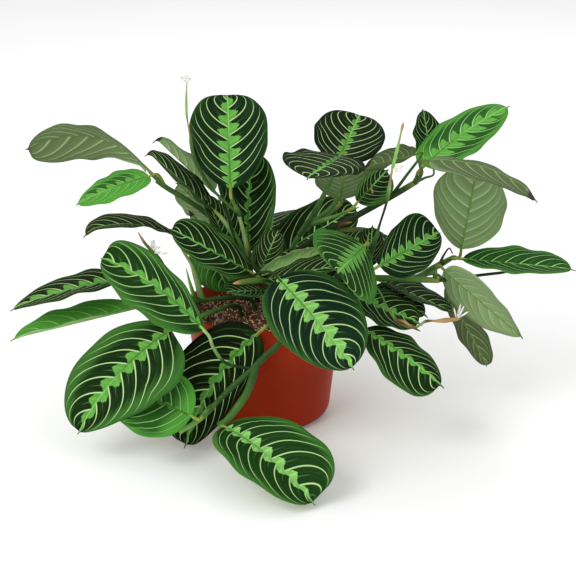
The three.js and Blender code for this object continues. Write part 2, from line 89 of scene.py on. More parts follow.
class Wire:
    """A number on its way through a material; a sum on it becomes a node."""

    def __init__(self, finish, socket):
        self.finish = finish
        self.socket = socket

    def sum(self, operation, *values):
        """A Math node with this operation on these values."""
        sockets = dict(enumerate(values))
        return self.finish.node("ShaderNodeMath", {"operation": operation}, sockets)

    def __add__(self, other):
        return self.sum("ADD", self, other)

    def __sub__(self, other):
        return self.sum("SUBTRACT", self, other)

    def __rsub__(self, other):
        return self.sum("SUBTRACT", other, self)

    def __mul__(self, other):
        return self.sum("MULTIPLY", self, other)

    def __truediv__(self, other):
        return self.sum("DIVIDE", self, other)

    def __pow__(self, other):
        return self.sum("POWER", self, other)

    __radd__ = __add__
    __rmul__ = __mul__

    def size(self):
        """Without its sign."""
        return self.sum("ABSOLUTE", self)

    def part(self):
        """What is left after the whole number."""
        return self.sum("FRACT", self)

    def least(self, other):
        """This, or the other where that is larger."""
        return self.sum("MAXIMUM", self, other)

    def most(self, other):
        """This, or the other where that is smaller."""
        return self.sum("MINIMUM", self, other)

    def below(self, other):
        """1 where it is below the other, and 0 elsewhere."""
        return self.sum("LESS_THAN", self, other)

    def rise(self, low, high):
        """0 below low and 1 above high, with a soft step between them; low may be the larger."""
        sockets = {"Value": self, "From Min": low, "From Max": high}
        return self.finish.node("ShaderNodeMapRange", {"interpolation_type": "SMOOTHSTEP"}, sockets)


class Board:
    """A tree of nodes, for a material or for a rule that makes geometry."""

    def plug(self, socket, value):
        """Gives a socket its link or its value; a colour of three numbers is made opaque."""
        if isinstance(value, Wire):
            self.tree.links.new(value.socket, socket)
        elif isinstance(value, tuple) and len(value) == 3 and socket.type == "RGBA":
            socket.default_value = (*value, 1)
        else:
            socket.default_value = value

    def node(self, kind, settings=None, sockets=None, out=0):
        """A new node: first its settings, or the stops of its ramp, then its sockets."""
        made = self.tree.nodes.new(kind)
        for name, value in (settings or {}).items():
            if name == "stops":
                made.color_ramp.elements[0].position = value[0][0]
                made.color_ramp.elements[0].color = (*value[0][1], 1)
                made.color_ramp.elements[1].position = value[-1][0]
                made.color_ramp.elements[1].color = (*value[-1][1], 1)
                for position, color in value[1:-1]:
                    made.color_ramp.elements.new(position).color = (*color, 1)
            else:
                setattr(made, name, value)
        for name, value in (sockets or {}).items():
            self.plug(made.inputs[name], value)
        return Wire(self, made.outputs[out])


class Finish(Board):
    """One material, with the socket values that are the same all over."""

    def __init__(self, name, **constants):
        self.material = bpy.data.materials.new(name)
        self.material.use_nodes = True
        self.tree = self.material.node_tree
        self.shader = self.tree.nodes["Principled BSDF"]
        for socket, value in constants.items():
            self.shader.inputs[self.title(socket)].default_value = value

    @staticmethod
    def title(socket):
        """The shader's own name for a socket that is written as a keyword."""
        return socket.replace("_", " ").title().replace("Ior", "IOR")

    def mix(self, factor, first, second, blend="MIX"):
        """Two colours mixed; the node's sockets 6 and 7, and its third output, are those for colours."""
        sockets = {0: factor, 6: first, 7: second}
        return self.node("ShaderNodeMix", {"data_type": "RGBA", "blend_type": blend}, sockets, out=2)

    def place(self):
        """Object coordinates, the fourth output."""
        return self.node("ShaderNodeTexCoord", out=3)

    def split(self, vector):
        return [self.node("ShaderNodeSeparateXYZ", {}, {0: vector}, out=i) for i in range(3)]

    def join(self, x, y, z):
        return self.node("ShaderNodeCombineXYZ", {}, {0: x, 1: y, 2: z})

    def noise(self, vector, scale, detail=2.0, roughness=0.5):
        sockets = {"Vector": vector, "Scale": scale, "Detail": detail, "Roughness": roughness}
        return self.node("ShaderNodeTexNoise", {}, sockets)

    def ramp(self, wire, stops):
        """The value between these stops, each a place and its value."""
        return self.node("ShaderNodeValToRGB", {"stops": [(p, (v, v, v)) for p, v in stops]}, {0: wire})

    def attribute(self, name, out=2):
        return self.node("ShaderNodeAttribute", {"attribute_name": name}, {}, out=out)

    def bump(self, height, distance, strength=1.0):
        sockets = {"Height": height, "Distance": distance, "Strength": strength}
        return self.node("ShaderNodeBump", {}, sockets)

    def wear(self, **wires):
        """Plugs what changes over the surface into the shader, and gives the material."""
        for socket, wire in wires.items():
            self.plug(self.shader.inputs[self.title(socket)], wire)
        return self.material


def wall_radius(z):
    """The wall's outer radius at this height."""
    return FOOT_RADIUS + (RIM_RADIUS - BAND_STEP - FOOT_RADIUS) * z / POT_HEIGHT


def corner_line(inset):
    """The rounded bottom corner, as radii and heights, this far in from the outer face."""
    centre = wall_radius(CORNER_RADIUS) - CORNER_RADIUS
    radius = CORNER_RADIUS - inset
    turns = np.linspace(-math.pi / 2, 0, CORNER_STEPS + 1)
    return [(centre + radius * math.cos(t), CORNER_RADIUS + radius * math.sin(t)) for t in turns]


def turned(profile, sides):
    """Points and faces of a solid turned about the vertical axis; the profile starts and ends on it."""
    turns = np.arange(sides) * 2 * math.pi / sides
    points = [(0, 0, profile[0][1]), (0, 0, profile[-1][1])]
    for radius, height in profile[1:-1]:
        points += [(radius * math.cos(t), radius * math.sin(t), height) for t in turns]
    faces = []
    last = len(profile) - 3
    for i in range(sides):
        j = (i + 1) % sides
        faces.append((0, 2 + j, 2 + i))
        faces.append((1, 2 + last * sides + i, 2 + last * sides + j))
        for row in range(last):
            low, high = 2 + row * sides, 2 + (row + 1) * sides
            faces.append((low + i, low + j, high + j, high + i))
    return points, faces


def new_piece(name, mesh, slot, *nodes):
    """A finished mesh as a piece that rides with the plant and stands for its plain solids."""
    piece = bpy.data.objects.new(name, mesh)
    bpy.context.scene.collection.objects.link(piece)
    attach(piece, "root")
    if nodes:
        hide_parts(*nodes)


def mesh_of(name, points, faces, material):
    """A smooth-shaded mesh from points in millimetres and faces."""
    mesh = bpy.data.meshes.new(name)
    mesh.from_pydata((np.asarray(points) * MM).tolist(), [], faces)
    mesh.materials.append(material)
    mesh.polygons.foreach_set("use_smooth", [True] * len(mesh.polygons))
    return mesh


def pot_plastic():
    """Satin red plastic, a little cloudy and streaked down its wall in roughness and bumps, with pale
    scuffs. Its colour is painted light and shade: a lit and a shaded tone of the red, mixed in the same
    clouds and streaks.
    """
    f = Finish("pot_plastic", specular_ior_level=0.1)
    place = f.place()
    x, y, z = f.split(place)
    cloud = f.noise(place, 9.0, 3)
    streak = f.noise(f.join(x * 30, y * 30, z * 2), 1.0, 2)
    dust = f.noise(place, 700.0, 2)
    # Painted light and shade: soft clouds of the lit and the shaded tone, then streaks of the shaded tone
    # down the wall.
    color = f.mix(cloud.rise(0.3, 0.7), POT_LIT, POT_SHADED)
    color = f.mix(streak.rise(0.45, 0.8) * 0.25, color, POT_SHADED)
    scuff = f.noise(place, 160.0, 4, 0.7).rise(0.62, 0.78)
    color = f.mix(scuff * 0.12, color, POT_SCUFF)
    roughness = 0.4 + cloud * 0.1 + scuff * 0.15
    relief = dust * 0.4 + streak * 0.6
    return f.wear(base_color=color, roughness=roughness, normal=f.bump(relief, PLASTIC_BUMP * MM, 0.5))


floor_top = FLOOR_RISE + FLOOR_THICKNESS
corner_centre = wall_radius(CORNER_RADIUS) - CORNER_RADIUS
band_foot = POT_HEIGHT - BAND_HEIGHT
pot_profile = [
    (0, 0),
    (FOOT_PAD, 0),
    (FOOT_PAD + FLOOR_RISE, FLOOR_RISE),
    (corner_centre - 2 * FOOT_RING, FLOOR_RISE),
    (corner_centre - FOOT_RING, 0),
    *corner_line(0),
    *[(wall_radius(band_foot) + share * BAND_STEP, band_foot + up) for share, up in BAND_EDGE],
    (RIM_RADIUS, POT_HEIGHT - RIM_ROUNDING),
    (RIM_RADIUS - 0.25 * RIM_ROUNDING, POT_HEIGHT - 0.2 * RIM_ROUNDING),
    (RIM_RADIUS - RIM_ROUNDING, POT_HEIGHT),
    (RIM_RADIUS - BAND_STEP - WALL + RIM_ROUNDING, POT_HEIGHT),
    (RIM_RADIUS - BAND_STEP - WALL, POT_HEIGHT - RIM_ROUNDING),
    *[p for p in reversed(corner_line(WALL)) if p[1] > floor_top + FLOOR_CLEAR],
    (corner_centre - FLOOR_INSET, floor_top),
    (FOOT_PAD + FLOOR_RISE, floor_top),
    (FOOT_PAD, FLOOR_THICKNESS),
    (0, FLOOR_THICKNESS),
]


def cut_drains(mesh):
    """The pot's mesh with its drain holes cut through the floor."""
    turns = np.arange(DRAIN_COUNT) * 2 * math.pi / DRAIN_COUNT
    points, faces = [], []
    for turn in turns:
        outline = [(0, DRILL_FROM), (DRAIN_RADIUS, DRILL_FROM), (DRAIN_RADIUS, DRILL_TO), (0, DRILL_TO)]
        drill, sides = turned(outline, DRILL_SIDES)
        shift = np.array([DRAIN_RING * math.cos(turn), DRAIN_RING * math.sin(turn), 0])
        faces += [tuple(i + len(points) for i in face) for face in sides]
        points += (np.array(drill) + shift).tolist()
    body = bpy.data.objects.new("uncut_pot", mesh)
    drills = bpy.data.objects.new("drills", mesh_of("drills", points, faces, mesh.materials[0]))
    for each in (body, drills):
        bpy.context.scene.collection.objects.link(each)
    cut = body.modifiers.new("drains", "BOOLEAN")
    cut.object = drills
    cut.operation = "DIFFERENCE"
    cut.solver = "EXACT"
    done = bpy.data.meshes.new_from_object(body.evaluated_get(bpy.context.evaluated_depsgraph_get()))
    for each in (body, drills):
        bpy.data.objects.remove(each)
    return done


pot_mesh = cut_drains(mesh_of("pot_wall", *turned(pot_profile, POT_SIDES), pot_plastic()))
pot_mesh.set_sharp_from_angle(angle=POT_CREASE)
new_piece("pot_moulding", pot_mesh, "pot_plastic", "pot")


# Soil: a moist mix of coir and fine bark that fills the pot to a little below the rim and is heaped
# round the crown. Crumbs and short fibres of it lie loose on top.
SOIL_LEVEL, SOIL_MOUND, SOIL_BUMP = 105, 5, 1.2
SOIL_BUMP_SPAN = (30, 37)
SOIL_SIDES, SOIL_RINGS = 96, 26
GAP = 0.3
CRUMB_SIZE, CRUMB_SEED = 1.5, 7
CRUMB_LEAST, CRUMB_MOST = (0.35, 0.3, 0.25), (2.1, 0.9, 0.7)
CRUMB_TURN = 3.1
CRUMBS_PER_SQUARE_METRE = 220000
FACING_UP = 0.6
COIR_BUMP = 1.2
COIR, BARK, FLECK = shade("#87533f"), shade("#2e1710"), shade("#f0cba8")


def soil_height(x, y, share):
    """The top of the soil at a place that is this share of the way out to the wall."""
    span_x, span_y = SOIL_BUMP_SPAN
    bump = math.sin(2 * math.pi * x / span_x) * math.cos(2 * math.pi * y / span_y)
    return SOIL_LEVEL + SOIL_MOUND * (1 - share * share) + SOIL_BUMP * bump * (1 - share ** 6)


def coir_mix(name):
    """Brown fibre and dark bark in fine grains; each loose crumb has a tint of its own."""
    f = Finish(name, specular_ior_level=0.25)
    place = f.place()
    grain = f.noise(place, 520.0, 4, 0.7)
    lump = f.noise(place, 120.0, 3, 0.6)
    own = f.attribute("crumb")
    color = f.mix(grain.rise(0.35, 0.7), BARK, COIR)
    color = f.mix(own.rise(0.5, 0.95), color, FLECK)
    color = f.mix(lump.rise(0.5, 0.8) * 0.5, color, BARK)
    relief = f.bump(grain * 0.6 + lump, COIR_BUMP * MM)
    return f.wear(base_color=color, roughness=0.85 + grain * 0.12, normal=relief)


soil_edge = wall_radius(SOIL_LEVEL) - WALL - GAP
soil_profile = [
    (0, FLOOR_THICKNESS + GAP),
    (FOOT_PAD - GAP, FLOOR_THICKNESS + GAP),
    (FOOT_PAD + FLOOR_RISE - GAP, floor_top + GAP),
    (corner_centre - FLOOR_INSET, floor_top + GAP),
    *[p for p in corner_line(WALL + 2 * GAP) if p[1] > floor_top + 2 * GAP],
    *[(soil_edge * ring / SOIL_RINGS, SOIL_LEVEL) for ring in range(SOIL_RINGS, 0, -1)],
    (0, SOIL_LEVEL),
]
soil_points, soil_faces = turned(soil_profile, SOIL_SIDES)
soil_points = [
    (x, y, soil_height(x, y, math.hypot(x, y) / soil_edge)) if z >= SOIL_LEVEL else (x, y, z)
    for x, y, z in soil_points
]
soil_mesh = mesh_of("soil_mix", soil_points, soil_faces, coir_mix("coir"))
new_piece("soil_mix", soil_mesh, "coir_soil", "soil")


class Rule(Board):
    """A tree of geometry nodes with named inputs, which is run once on a mesh and then taken off."""

    def __init__(self, name, **inputs):
        self.tree = bpy.data.node_groups.new(name, "GeometryNodeTree")
        side = self.tree.interface
        side.new_socket("Geometry", in_out="INPUT", socket_type="NodeSocketGeometry")
        side.new_socket("Geometry", in_out="OUTPUT", socket_type="NodeSocketGeometry")
        for each, kind in inputs.items():
            side.new_socket(each, in_out="INPUT", socket_type=f"NodeSocket{kind}")
        self.inside = self.tree.nodes.new("NodeGroupInput")
        self.end = self.tree.nodes.new("NodeGroupOutput")

    def given(self, name="Geometry"):
        return Wire(self, self.inside.outputs[name])

    def give(self, geometry, material):
        """Ends the tree: what it made becomes real faces with their material."""
        real = self.node("GeometryNodeRealizeInstances", {}, {0: geometry})
        smooth = self.node("GeometryNodeSetShadeSmooth", {}, {0: real})
        done = self.node("GeometryNodeSetMaterial", {}, {"Geometry": smooth, "Material": material})
        self.plug(self.end.inputs[0], done)
        return self

    def run(self, mesh, **values):
        """The mesh that the rule makes of this one, with these values at its inputs."""
        carrier = bpy.data.objects.new("carrier", mesh)
        bpy.context.scene.collection.objects.link(carrier)
        modifier = carrier.modifiers.new("rule", "NODES")
        modifier.node_group = self.tree
        for item in self.tree.interface.items_tree:
            if item.in_out == "INPUT" and item.name in values:
                modifier[item.identifier] = values[item.name]
        done = bpy.data.meshes.new_from_object(
            carrier.evaluated_get(bpy.context.evaluated_depsgraph_get()))
        carrier.modifiers.remove(modifier)
        bpy.data.objects.remove(carrier)
        return done


def crumb_rule():
    """Small faceted crumbs, each turned and stretched its own way, on all that faces up."""
    rule = Rule("crumbs", Density="Float", Size="Float", Seed="Int")
    seed = rule.given("Seed")
    normal = rule.node("GeometryNodeInputNormal")
    up = rule.node("ShaderNodeSeparateXYZ", {}, {0: normal}, out=2)
    top = rule.node("FunctionNodeCompare", {"operation": "GREATER_THAN"}, {0: up, 1: FACING_UP})
    sockets = {"Mesh": rule.given(), "Selection": top, "Density": rule.given("Density"), "Seed": seed}
    spots = rule.node("GeometryNodeDistributePointsOnFaces", {}, sockets)
    crumb = rule.node("GeometryNodeMeshIcoSphere", {}, {"Radius": rule.given("Size"), "Subdivisions": 1})
    spin = rule.node("FunctionNodeRandomValue", {"data_type": "FLOAT_VECTOR"},
                     {0: (-CRUMB_TURN,) * 3, 1: (CRUMB_TURN,) * 3, "Seed": seed})
    shape = rule.node("FunctionNodeRandomValue", {"data_type": "FLOAT_VECTOR"},
                      {0: CRUMB_LEAST, 1: CRUMB_MOST, "Seed": seed + 1})
    sockets = {"Points": spots, "Instance": crumb, "Rotation": spin, "Scale": shape}
    laid = rule.node("GeometryNodeInstanceOnPoints", {}, sockets)
    own = rule.node("FunctionNodeRandomValue", {}, {"Seed": seed + 2}, out=1)
    sockets = {"Geometry": laid, "Name": "crumb", "Value": own}
    named = rule.node("GeometryNodeStoreNamedAttribute", {"domain": "INSTANCE"}, sockets)
    return rule.give(named, coir_mix("coir_crumbs"))


crumbs = crumb_rule().run(
    soil_mesh, Density=CRUMBS_PER_SQUARE_METRE, Size=CRUMB_SIZE * MM, Seed=CRUMB_SEED)
new_piece("soil_crumbs", crumbs, "coir_soil")


# Leaf blades: thin velvety ovals with a lime feather pattern along the midrib, pale raised-looking
# side veins and a grey-green underside. Each grows on its stalk, arches, and folds up a little. Its
# lowest side veins hug the margin.
def leaf(name, base, tip, width, route, **pose):
    """One leaf: where its blade starts and ends, its width, its stalk's route and how it lies."""
    usual = {"roll": 0, "arch": 0, "bend": 0, "left": 8, "right": 8, "wave": 1.2, "broadest": 0.55,
             "skew": 0, "offset": 0, "taper": 1, "neck": 0}
    return {**usual, "name": name, "base": base, "tip": tip, "width": width, "route": route, **pose}


LEAVES = {
    # Long shoot that leans out to the left and ends in two blades
    "left_shoot": [
        leaf("left_1", (-116, 3, 259.5), (-234, 15, 278.5), 66,
             [(-100, 3, 242)], roll=-52, arch=26, left=-16, right=-14, broadest=0.72, taper=1.4, neck=6),
        leaf("left_2", (-113, -6, 253.5), (-180, -30, 234), 48,
             [(-98, 4, 240)],
             roll=15, arch=4, bend=-3, wave=0.5, broadest=0.42, skew=-0.06, offset=-0.12, taper=1.12),
    ],
    # Low leaves that hang out over the rim on the left
    "low_left_shoot": [
        leaf("low_left_1", (-89, 25, 181), (-178, -5, 197), 46,
             [(-62, -26, 131), (-72, -4, 157), (-84, 13, 174)], arch=10, offset=0.15),
        leaf("low_left_2", (-134, -40, 159), (-244, -60, 136), 66,
             [(-62, -26, 131), (-84, -35, 137), (-112, -41, 149)],
             arch=4, broadest=0.44, skew=-0.06, offset=-0.06, taper=1.2),
        leaf("low_left_3", (-124, -55, 134), (-242, -75, 110), 50,
             [(-62, -26, 131), (-84, -42, 131), (-104, -50, 132)],
             left=25, right=25, skew=-0.08, taper=1.15),
    ],
    # Upright leaves at the top, left of the middle
    "upper_left_shoot": [
        leaf("upper_left_1", (-33, 0, 240), (-38, 75, 318), 80, [(-24, 2, 211)], arch=4),
        leaf("upper_left_2", (-15, 26, 165), (-9, 50, 263), 58,
             [(-15, 16, 142)], roll=4, bend=-5, offset=0.08),
        leaf("upper_left_3", (-52, 34, 226), (-112, 55, 278), 38,
             [(-16, 14, 152), (-32, 16, 185), (-47, 27, 211)],
             roll=-47, left=25, right=25, wave=2.4, broadest=0.3, taper=0.9, neck=5),
        leaf("upper_left_4", (-51, 10, 214), (-115, 0, 279), 46,
             [(-16, 12, 160), (-32, 10, 190)], roll=11, broadest=0.38, offset=0.3, taper=1.15),
        leaf("tucked_1", (-23, 9, 166), (-46, 22, 241), 26,
             [(-16, 13, 150)], roll=10, left=30, right=30, wave=0.6),
        leaf("tucked_2", (-33, 5, 170), (-60, 14, 227), 28,
             [(-16, 13, 146), (-24, 8, 158)], roll=20, left=20, right=30, wave=0.6),
        leaf("tucked_3", (-50, -3, 173), (-73, 2, 214), 13,
             [(-16, 13, 146), (-34, 2, 158)], roll=-150, left=20, right=20, broadest=0.4),
    ],
    # Leaves that hang down over the soil and the wall behind it
    "inner_left_shoot": [
        leaf("inner_left_1", (-66, 28, 183), (-38, 34, 120), 42,
             [(-38, 50, 148), (-56, 46, 174)], roll=-110, offset=0.2),
        leaf("inner_left_2", (-48, 36, 194), (-88, 42, 232), 48, [(-38, 50, 148)], roll=-60, offset=0.3),
    ],
    # Shoot that creeps over the front rim and trails down the pot
    "front_shoot": [
        leaf("front_1", (-57, -98, 128), (-154, -72, 192), 70,
             [(-10, -109, 92), (-36, -110, 99), (-48, -105, 114)],
             roll=26, arch=4, bend=6, broadest=0.63, skew=0.16, offset=-0.16),
        leaf("front_2", (-68, -126, 50), (-147, -98, 76), 76,
             [(-50, -114, 55), (-58, -124, 50)], roll=60, left=32, right=6, broadest=0.42, offset=-0.1),
        leaf("front_3", (-5, -90, 121), (-76, -98, 8), 72,
             [(22, -72, 130), (10, -82, 130)],
             roll=65, bend=10, broadest=0.47, skew=0.03, offset=0.16, taper=0.85),
        leaf("front_4", (-36, -131, 41), (46, -218, 9), 83,
             [(-6, -108, 96), (-16, -119, 70), (-35, -127, 46)],
             roll=-19, arch=12, left=25, right=20, broadest=0.62, skew=-0.11, offset=-0.04),
    ],
    # Leaf that leans over the rim at the lower left
    "front_left_shoot": [
        leaf("front_left_1", (-88, -98, 128), (-176, -125, 35), 86,
             [(-46, -60, 133)], roll=55, arch=8, bend=7, broadest=0.42, skew=0.12, offset=-0.12),
    ],
    # Leaves that fan out of the crown towards the front
    "crown_shoot": [
        leaf("crown_1", (-14, -15, 157), (-89, -40, 210), 54, [(2, -6, 140)], roll=39),
        leaf("crown_2", (15, -88, 176), (84, -134, 106), 88,
             [(2, -6, 140), (-10, -42, 162)], roll=-31, arch=6, broadest=0.47, skew=-0.04),
        leaf("crown_3", (2, -42, 158), (71, -68, 182), 50, [(2, -6, 140)], roll=-11),
        leaf("crown_4", (-2, -9, 151), (60, -37, 186), 34,
             [(2, -6, 140)], roll=31, left=25, right=25, wave=0.4, offset=-0.1),
        leaf("crown_5", (4, -18, 138), (-35, -50, 149), 40, [(6, 0, 126)], roll=8),
        leaf("tucked_4", (-5, -8, 153), (14, 4, 194), 32, [(2, -6, 140)], roll=-24),
        leaf("tucked_5", (24, -16, 154), (94, -36, 150), 46, [(2, -6, 140)], roll=-25),
    ],
    # Thick shoot that crosses to the upper right
    "upper_right_shoot": [
        leaf("upper_right_1", (158, -5, 264), (242, 35, 314), 61,
             [(150, 0, 245)], roll=-20, bend=-5, left=-12, right=-5, broadest=0.45, offset=-0.12),
        leaf("upper_right_2", (170, 35, 254), (160, 50, 307), 42,
             [(150, 0, 245), (160, 14, 246)], roll=-6, broadest=0.44, offset=-0.06, taper=1.2),
        leaf("upper_right_3", (160, -36, 278), (260, -54, 249), 64,
             [(150, 0, 245), (154, -22, 262)], roll=180, arch=-10, broadest=0.42, taper=0.8, neck=10),
        leaf("upper_right_4", (148, -10, 277), (98, -42, 274), 44,
             [(126, 2, 230), (140, 3, 250)], roll=-45),
        leaf("upper_right_5", (-1, 45, 144), (94, 60, 201), 66, [(7, 34, 126)], roll=-40),
    ],
    # Upright leaves above the middle
    "upper_shoot": [
        leaf("upper_1", (72, -6, 267), (98, 78, 296), 73,
             [(46, -5, 203), (71, 5, 223), (78, 4, 245)], roll=-12, broadest=0.5, skew=-0.04),
        leaf("upper_2", (74, -40, 284), (42, -125, 287), 74,
             [(36, -2, 192), (50, -30, 224), (62, -42, 253)], roll=10, skew=0.08, taper=1.2),
        leaf("upper_3", (79, 50, 213), (78, 0, 260), 64, [(46, -5, 203)], offset=-0.12),
        leaf("upper_4", (93, -8, 228), (121, 2, 257), 32, [(46, -5, 203)], roll=-60, offset=0.25),
    ],
    # Low shoot that reaches out to the right
    "right_shoot": [
        leaf("right_1", (98, -60, 200), (70, -134, 200), 86,
             [(66, -20, 150), (98, -30, 180)], roll=34, left=-18, right=-4, broadest=0.575, skew=-0.1),
        leaf("right_2", (112, -60, 179), (174, -15, 199), 58,
             [(66, -20, 150)], roll=-38, skew=-0.2, offset=-0.03, neck=8),
        leaf("right_3", (98, -98, 128), (168, -128, 85), 66,
             [(60, -18, 148), (76, -58, 152)], roll=-15, arch=3, left=-13, right=-14, skew=0.1, neck=8),
        leaf("right_4", (85, -50, 146), (151, -66, 123), 64, [(60, -18, 148)], roll=-11, offset=0.12),
        leaf("right_5", (200, 12, 172), (210, -4, 260), 77,
             [(190, 2, 166)], roll=30, broadest=0.56, skew=0.1, offset=-0.02),
        leaf("right_6", (198, -22, 173), (301, -45, 171), 64,
             [(178, -5, 162)], roll=-5, broadest=0.5, taper=1.1),
        leaf("right_7", (179, -30, 164), (254, -55, 105), 54,
             [(170, -28, 153)], roll=75, right=-12, broadest=0.38, skew=-0.08, offset=-0.1, taper=1.3),
        leaf("right_8", (122, -12, 144), (188, -30, 120), 60,
             [(90, -23, 153)], roll=7, broadest=0.45, offset=-0.1),
        leaf("right_9", (186, 6, 133), (229, -4, 52), 42,
             [(145, -28, 154), (176, 8, 146)], roll=56, broadest=0.6, offset=-0.1),
        leaf("tucked_6", (112, -24, 145), (160, -34, 119), 34, [(90, -23, 153)], roll=-18),
        leaf("tucked_7", (106, -6, 160), (109, 8, 196), 26, [(100, -24, 153)]),
    ],
    # Leaves at the back, which lean out over the far rim
    "back_shoot": [
        leaf("back_1", (-25, 74, 165), (-75, 150, 150), 62, [(6, 65, 142)], arch=8),
        leaf("back_2", (6, 84, 168), (5, 185, 150), 66, [(6, 65, 142)], arch=10),
        leaf("back_3", (44, 76, 160), (88, 160, 140), 60, [(6, 65, 142)], arch=8),
        leaf("back_4", (82, 52, 158), (145, 92, 150), 56, [(6, 63, 134), (50, 58, 148)], arch=8),
    ],
}

# How each leaf differs from the common dark one. Young leaves are bright with dark blotches: spots is how
# far out these lie and side the half that has them. Lime is the width of the pattern along the midrib,
# pale its tint, edge how far the margin's green runs in, olive the browning of old leaves and cool their
# blue, and dull how dark both faces are. Drip and hook are the length and the droop of the drip tip,
# and dry how much of it has withered.
LOOKS = {
    "left_1": {"olive": 0.5, "dull": 0.2, "drip": 3, "hook": 4, "dry": 0.02},
    "left_2": {"young": 1.0, "lime": 0.8, "drip": 3, "spots": 0.62, "side": 1, "dry": 0.02},
    "low_left_1": {"olive": 1.0, "lime": 0.12, "drip": 3, "hook": 8, "dry": 0.04},
    "low_left_2": {"olive": 0.5, "lime": 0.9, "drip": 4, "hook": 3},
    "low_left_3": {"young": 1.0, "lime": 0.5, "drip": 5, "spots": -0.2},
    "upper_left_1": {"lime": 0.92, "drip": 1, "cool": 0.3},
    "upper_left_2": {"lime": 0.4, "edge": 0.15},
    "upper_left_3": {"drip": 3, "hook": 9, "dry": 0.1},
    "upper_left_4": {"lime": 0.1, "drip": 3, "hook": 9, "olive": 0.4, "dry": 0.08},
    "inner_left_1": {"young": 0.55, "edge": 0.7, "lime": 0.1},
    "front_1": {"young": 0.2, "lime": 0.6, "edge": 0.25, "drip": 2},
    "front_2": {"young": 0.9, "lime": 0.25, "spots": 0.9, "dull": 0.4},
    "front_3": {"lime": 0.48, "olive": 0.5, "dull": 1.0, "edge": -0.1},
    "front_4": {"lime": 0.6, "pale": 1.0, "edge": 0.15, "young": 0.2, "drip": 4},
    "front_left_1": {"edge": 0.32, "lime": 0.62, "drip": 3},
    "crown_1": {"lime": 0.25, "edge": 0.15},
    "crown_2": {"pale": 0.8, "lime": 0.8, "cool": 0.7, "edge": 0.08, "drip": 3},
    "crown_3": {"lime": 0.25, "olive": 0.4, "edge": 0.1},
    "crown_4": {"pale": 1, "young": 1.0},
    "crown_5": {"lime": 0.15, "edge": 0.1},
    "upper_right_1": {"young": 0.75, "lime": 1.3, "spots": 0.76},
    "upper_right_2": {"lime": 0.1, "drip": 3},
    "upper_right_3": {"olive": 0.9, "dull": 0.9, "drip": 3, "hook": 7, "dry": 0.08},
    "upper_right_4": {"olive": 0.75, "dull": 0.5, "dry": 0.1},
    "upper_right_5": {"lime": 0.1, "olive": 0.3},
    "upper_1": {"lime": 0.52, "drip": 1, "olive": 0.3, "dull": 0.9, "edge": -0.1},
    "upper_2": {"lime": 0.25, "olive": 0.5, "dull": 0.4, "edge": -0.1, "drip": 3},
    "upper_4": {"edge": 0.3, "lime": 0.1},
    "right_1": {"young": 0.3, "edge": 0.2, "lime": 0.8, "drip": 3},
    "right_2": {"cool": 0.4, "lime": 0.8, "drip": 2},
    "right_3": {"lime": 0.5, "edge": 0.1},
    "right_4": {"lime": 0.6},
    "right_6": {"young": 0.5, "lime": 0.15, "edge": 0.15, "drip": 5},
    "right_7": {"drip": 3, "pale": 0.3, "dull": 0.1},
    "right_8": {"olive": 0.6, "lime": 0.3},
    "right_9": {"olive": 0.9, "dull": 0.7, "drip": 1},
    "tucked_1": {"lime": 0.08},
    "tucked_2": {"lime": 0.08},
    "tucked_3": {"pale": 0.6, "dry": 0.1},
    "tucked_4": {"lime": 0.05, "olive": 0.6},
    "tucked_5": {"lime": 0.1, "olive": 0.4, "dull": 0.4},
    "tucked_6": {"lime": 0.05, "olive": 0.9, "dull": 0.3, "edge": 0.2},
    "tucked_7": {"lime": 0.05, "olive": 0.5, "dull": 0.4},
    "back_2": {"lime": 0.3, "olive": 0.5, "dull": 0.5},
}

# Blade and drip tip: thickness, half widths and lengths, and the shares of the length where they start
BLADE_THICKNESS, BLADE_END_HALF = 0.6, 1.3
DRIP_LENGTH, DRIP_START, DRIP_HALF, DRIP_END_HALF = 4.5, 0.99, 2.4, 0.15
HOOK_DROP, HOOK_START = 2, 0.9
ROWS, DRIP_ROWS, LANES_A_SIDE, LANE_CROWD = 58, 6, 14, 1.45
# Side veins: how many, how wide on a blade of usual length, how they lean and sweep towards the tip,
# how they crowd at the base and hug the margin there, and how far one half's lag behind the other's
VEINS, VEIN_WIDTH, USUAL_LENGTH = 8, 0.95, 115
LEAN, SWEEP, CROWD = 0.2, 0.27, 0.77
HUG, HUG_LEAN = 0.4, 0.4
OTHER_SIDE = 0.4
# Relief: the pillows between side veins, the margin's frill and nicks, and the keel under the midrib
PILLOW, FRILL, NICK = 0.45, 0.7, 0.014
RIPPLES, FRILL_WAVES, NICK_WAVES = 5, 23, 17
KEEL, KEEL_WIDTH = 1.0, 1.1
SEED_STEP = 0.618
TOP_BUMP, UNDER_BUMP = 0.35, 0.6
TOP_DEEP, TOP_EDGE, TOP_COOL = shade("#10240c"), shade("#3b6c2b"), shade("#0d221a")
YOUNG_DEEP, YOUNG_EDGE = shade("#0c4214"), shade("#4a9233")
LIME, LIME_PALE, VEIN_PALE = shade("#60a444"), shade("#8ccb6c"), shade("#bcdd98")
TOP_OLIVE, TOP_DULL, DRY_TIP = shade("#1b1d0e"), (0.4, 0.45, 0.35), shade("#363a20")
UNDER_SAGE, UNDER_OLIVE, UNDER_YOUNG = shade("#82a069"), shade("#566838"), shade("#a4d27c")
UNDER_DARK = (0.5, 0.56, 0.42)
UNDER_VEIN, MIDRIB_GREEN, MIDRIB_DARK = shade("#b6cc98"), shade("#6a9440"), shade("#3c6a24")
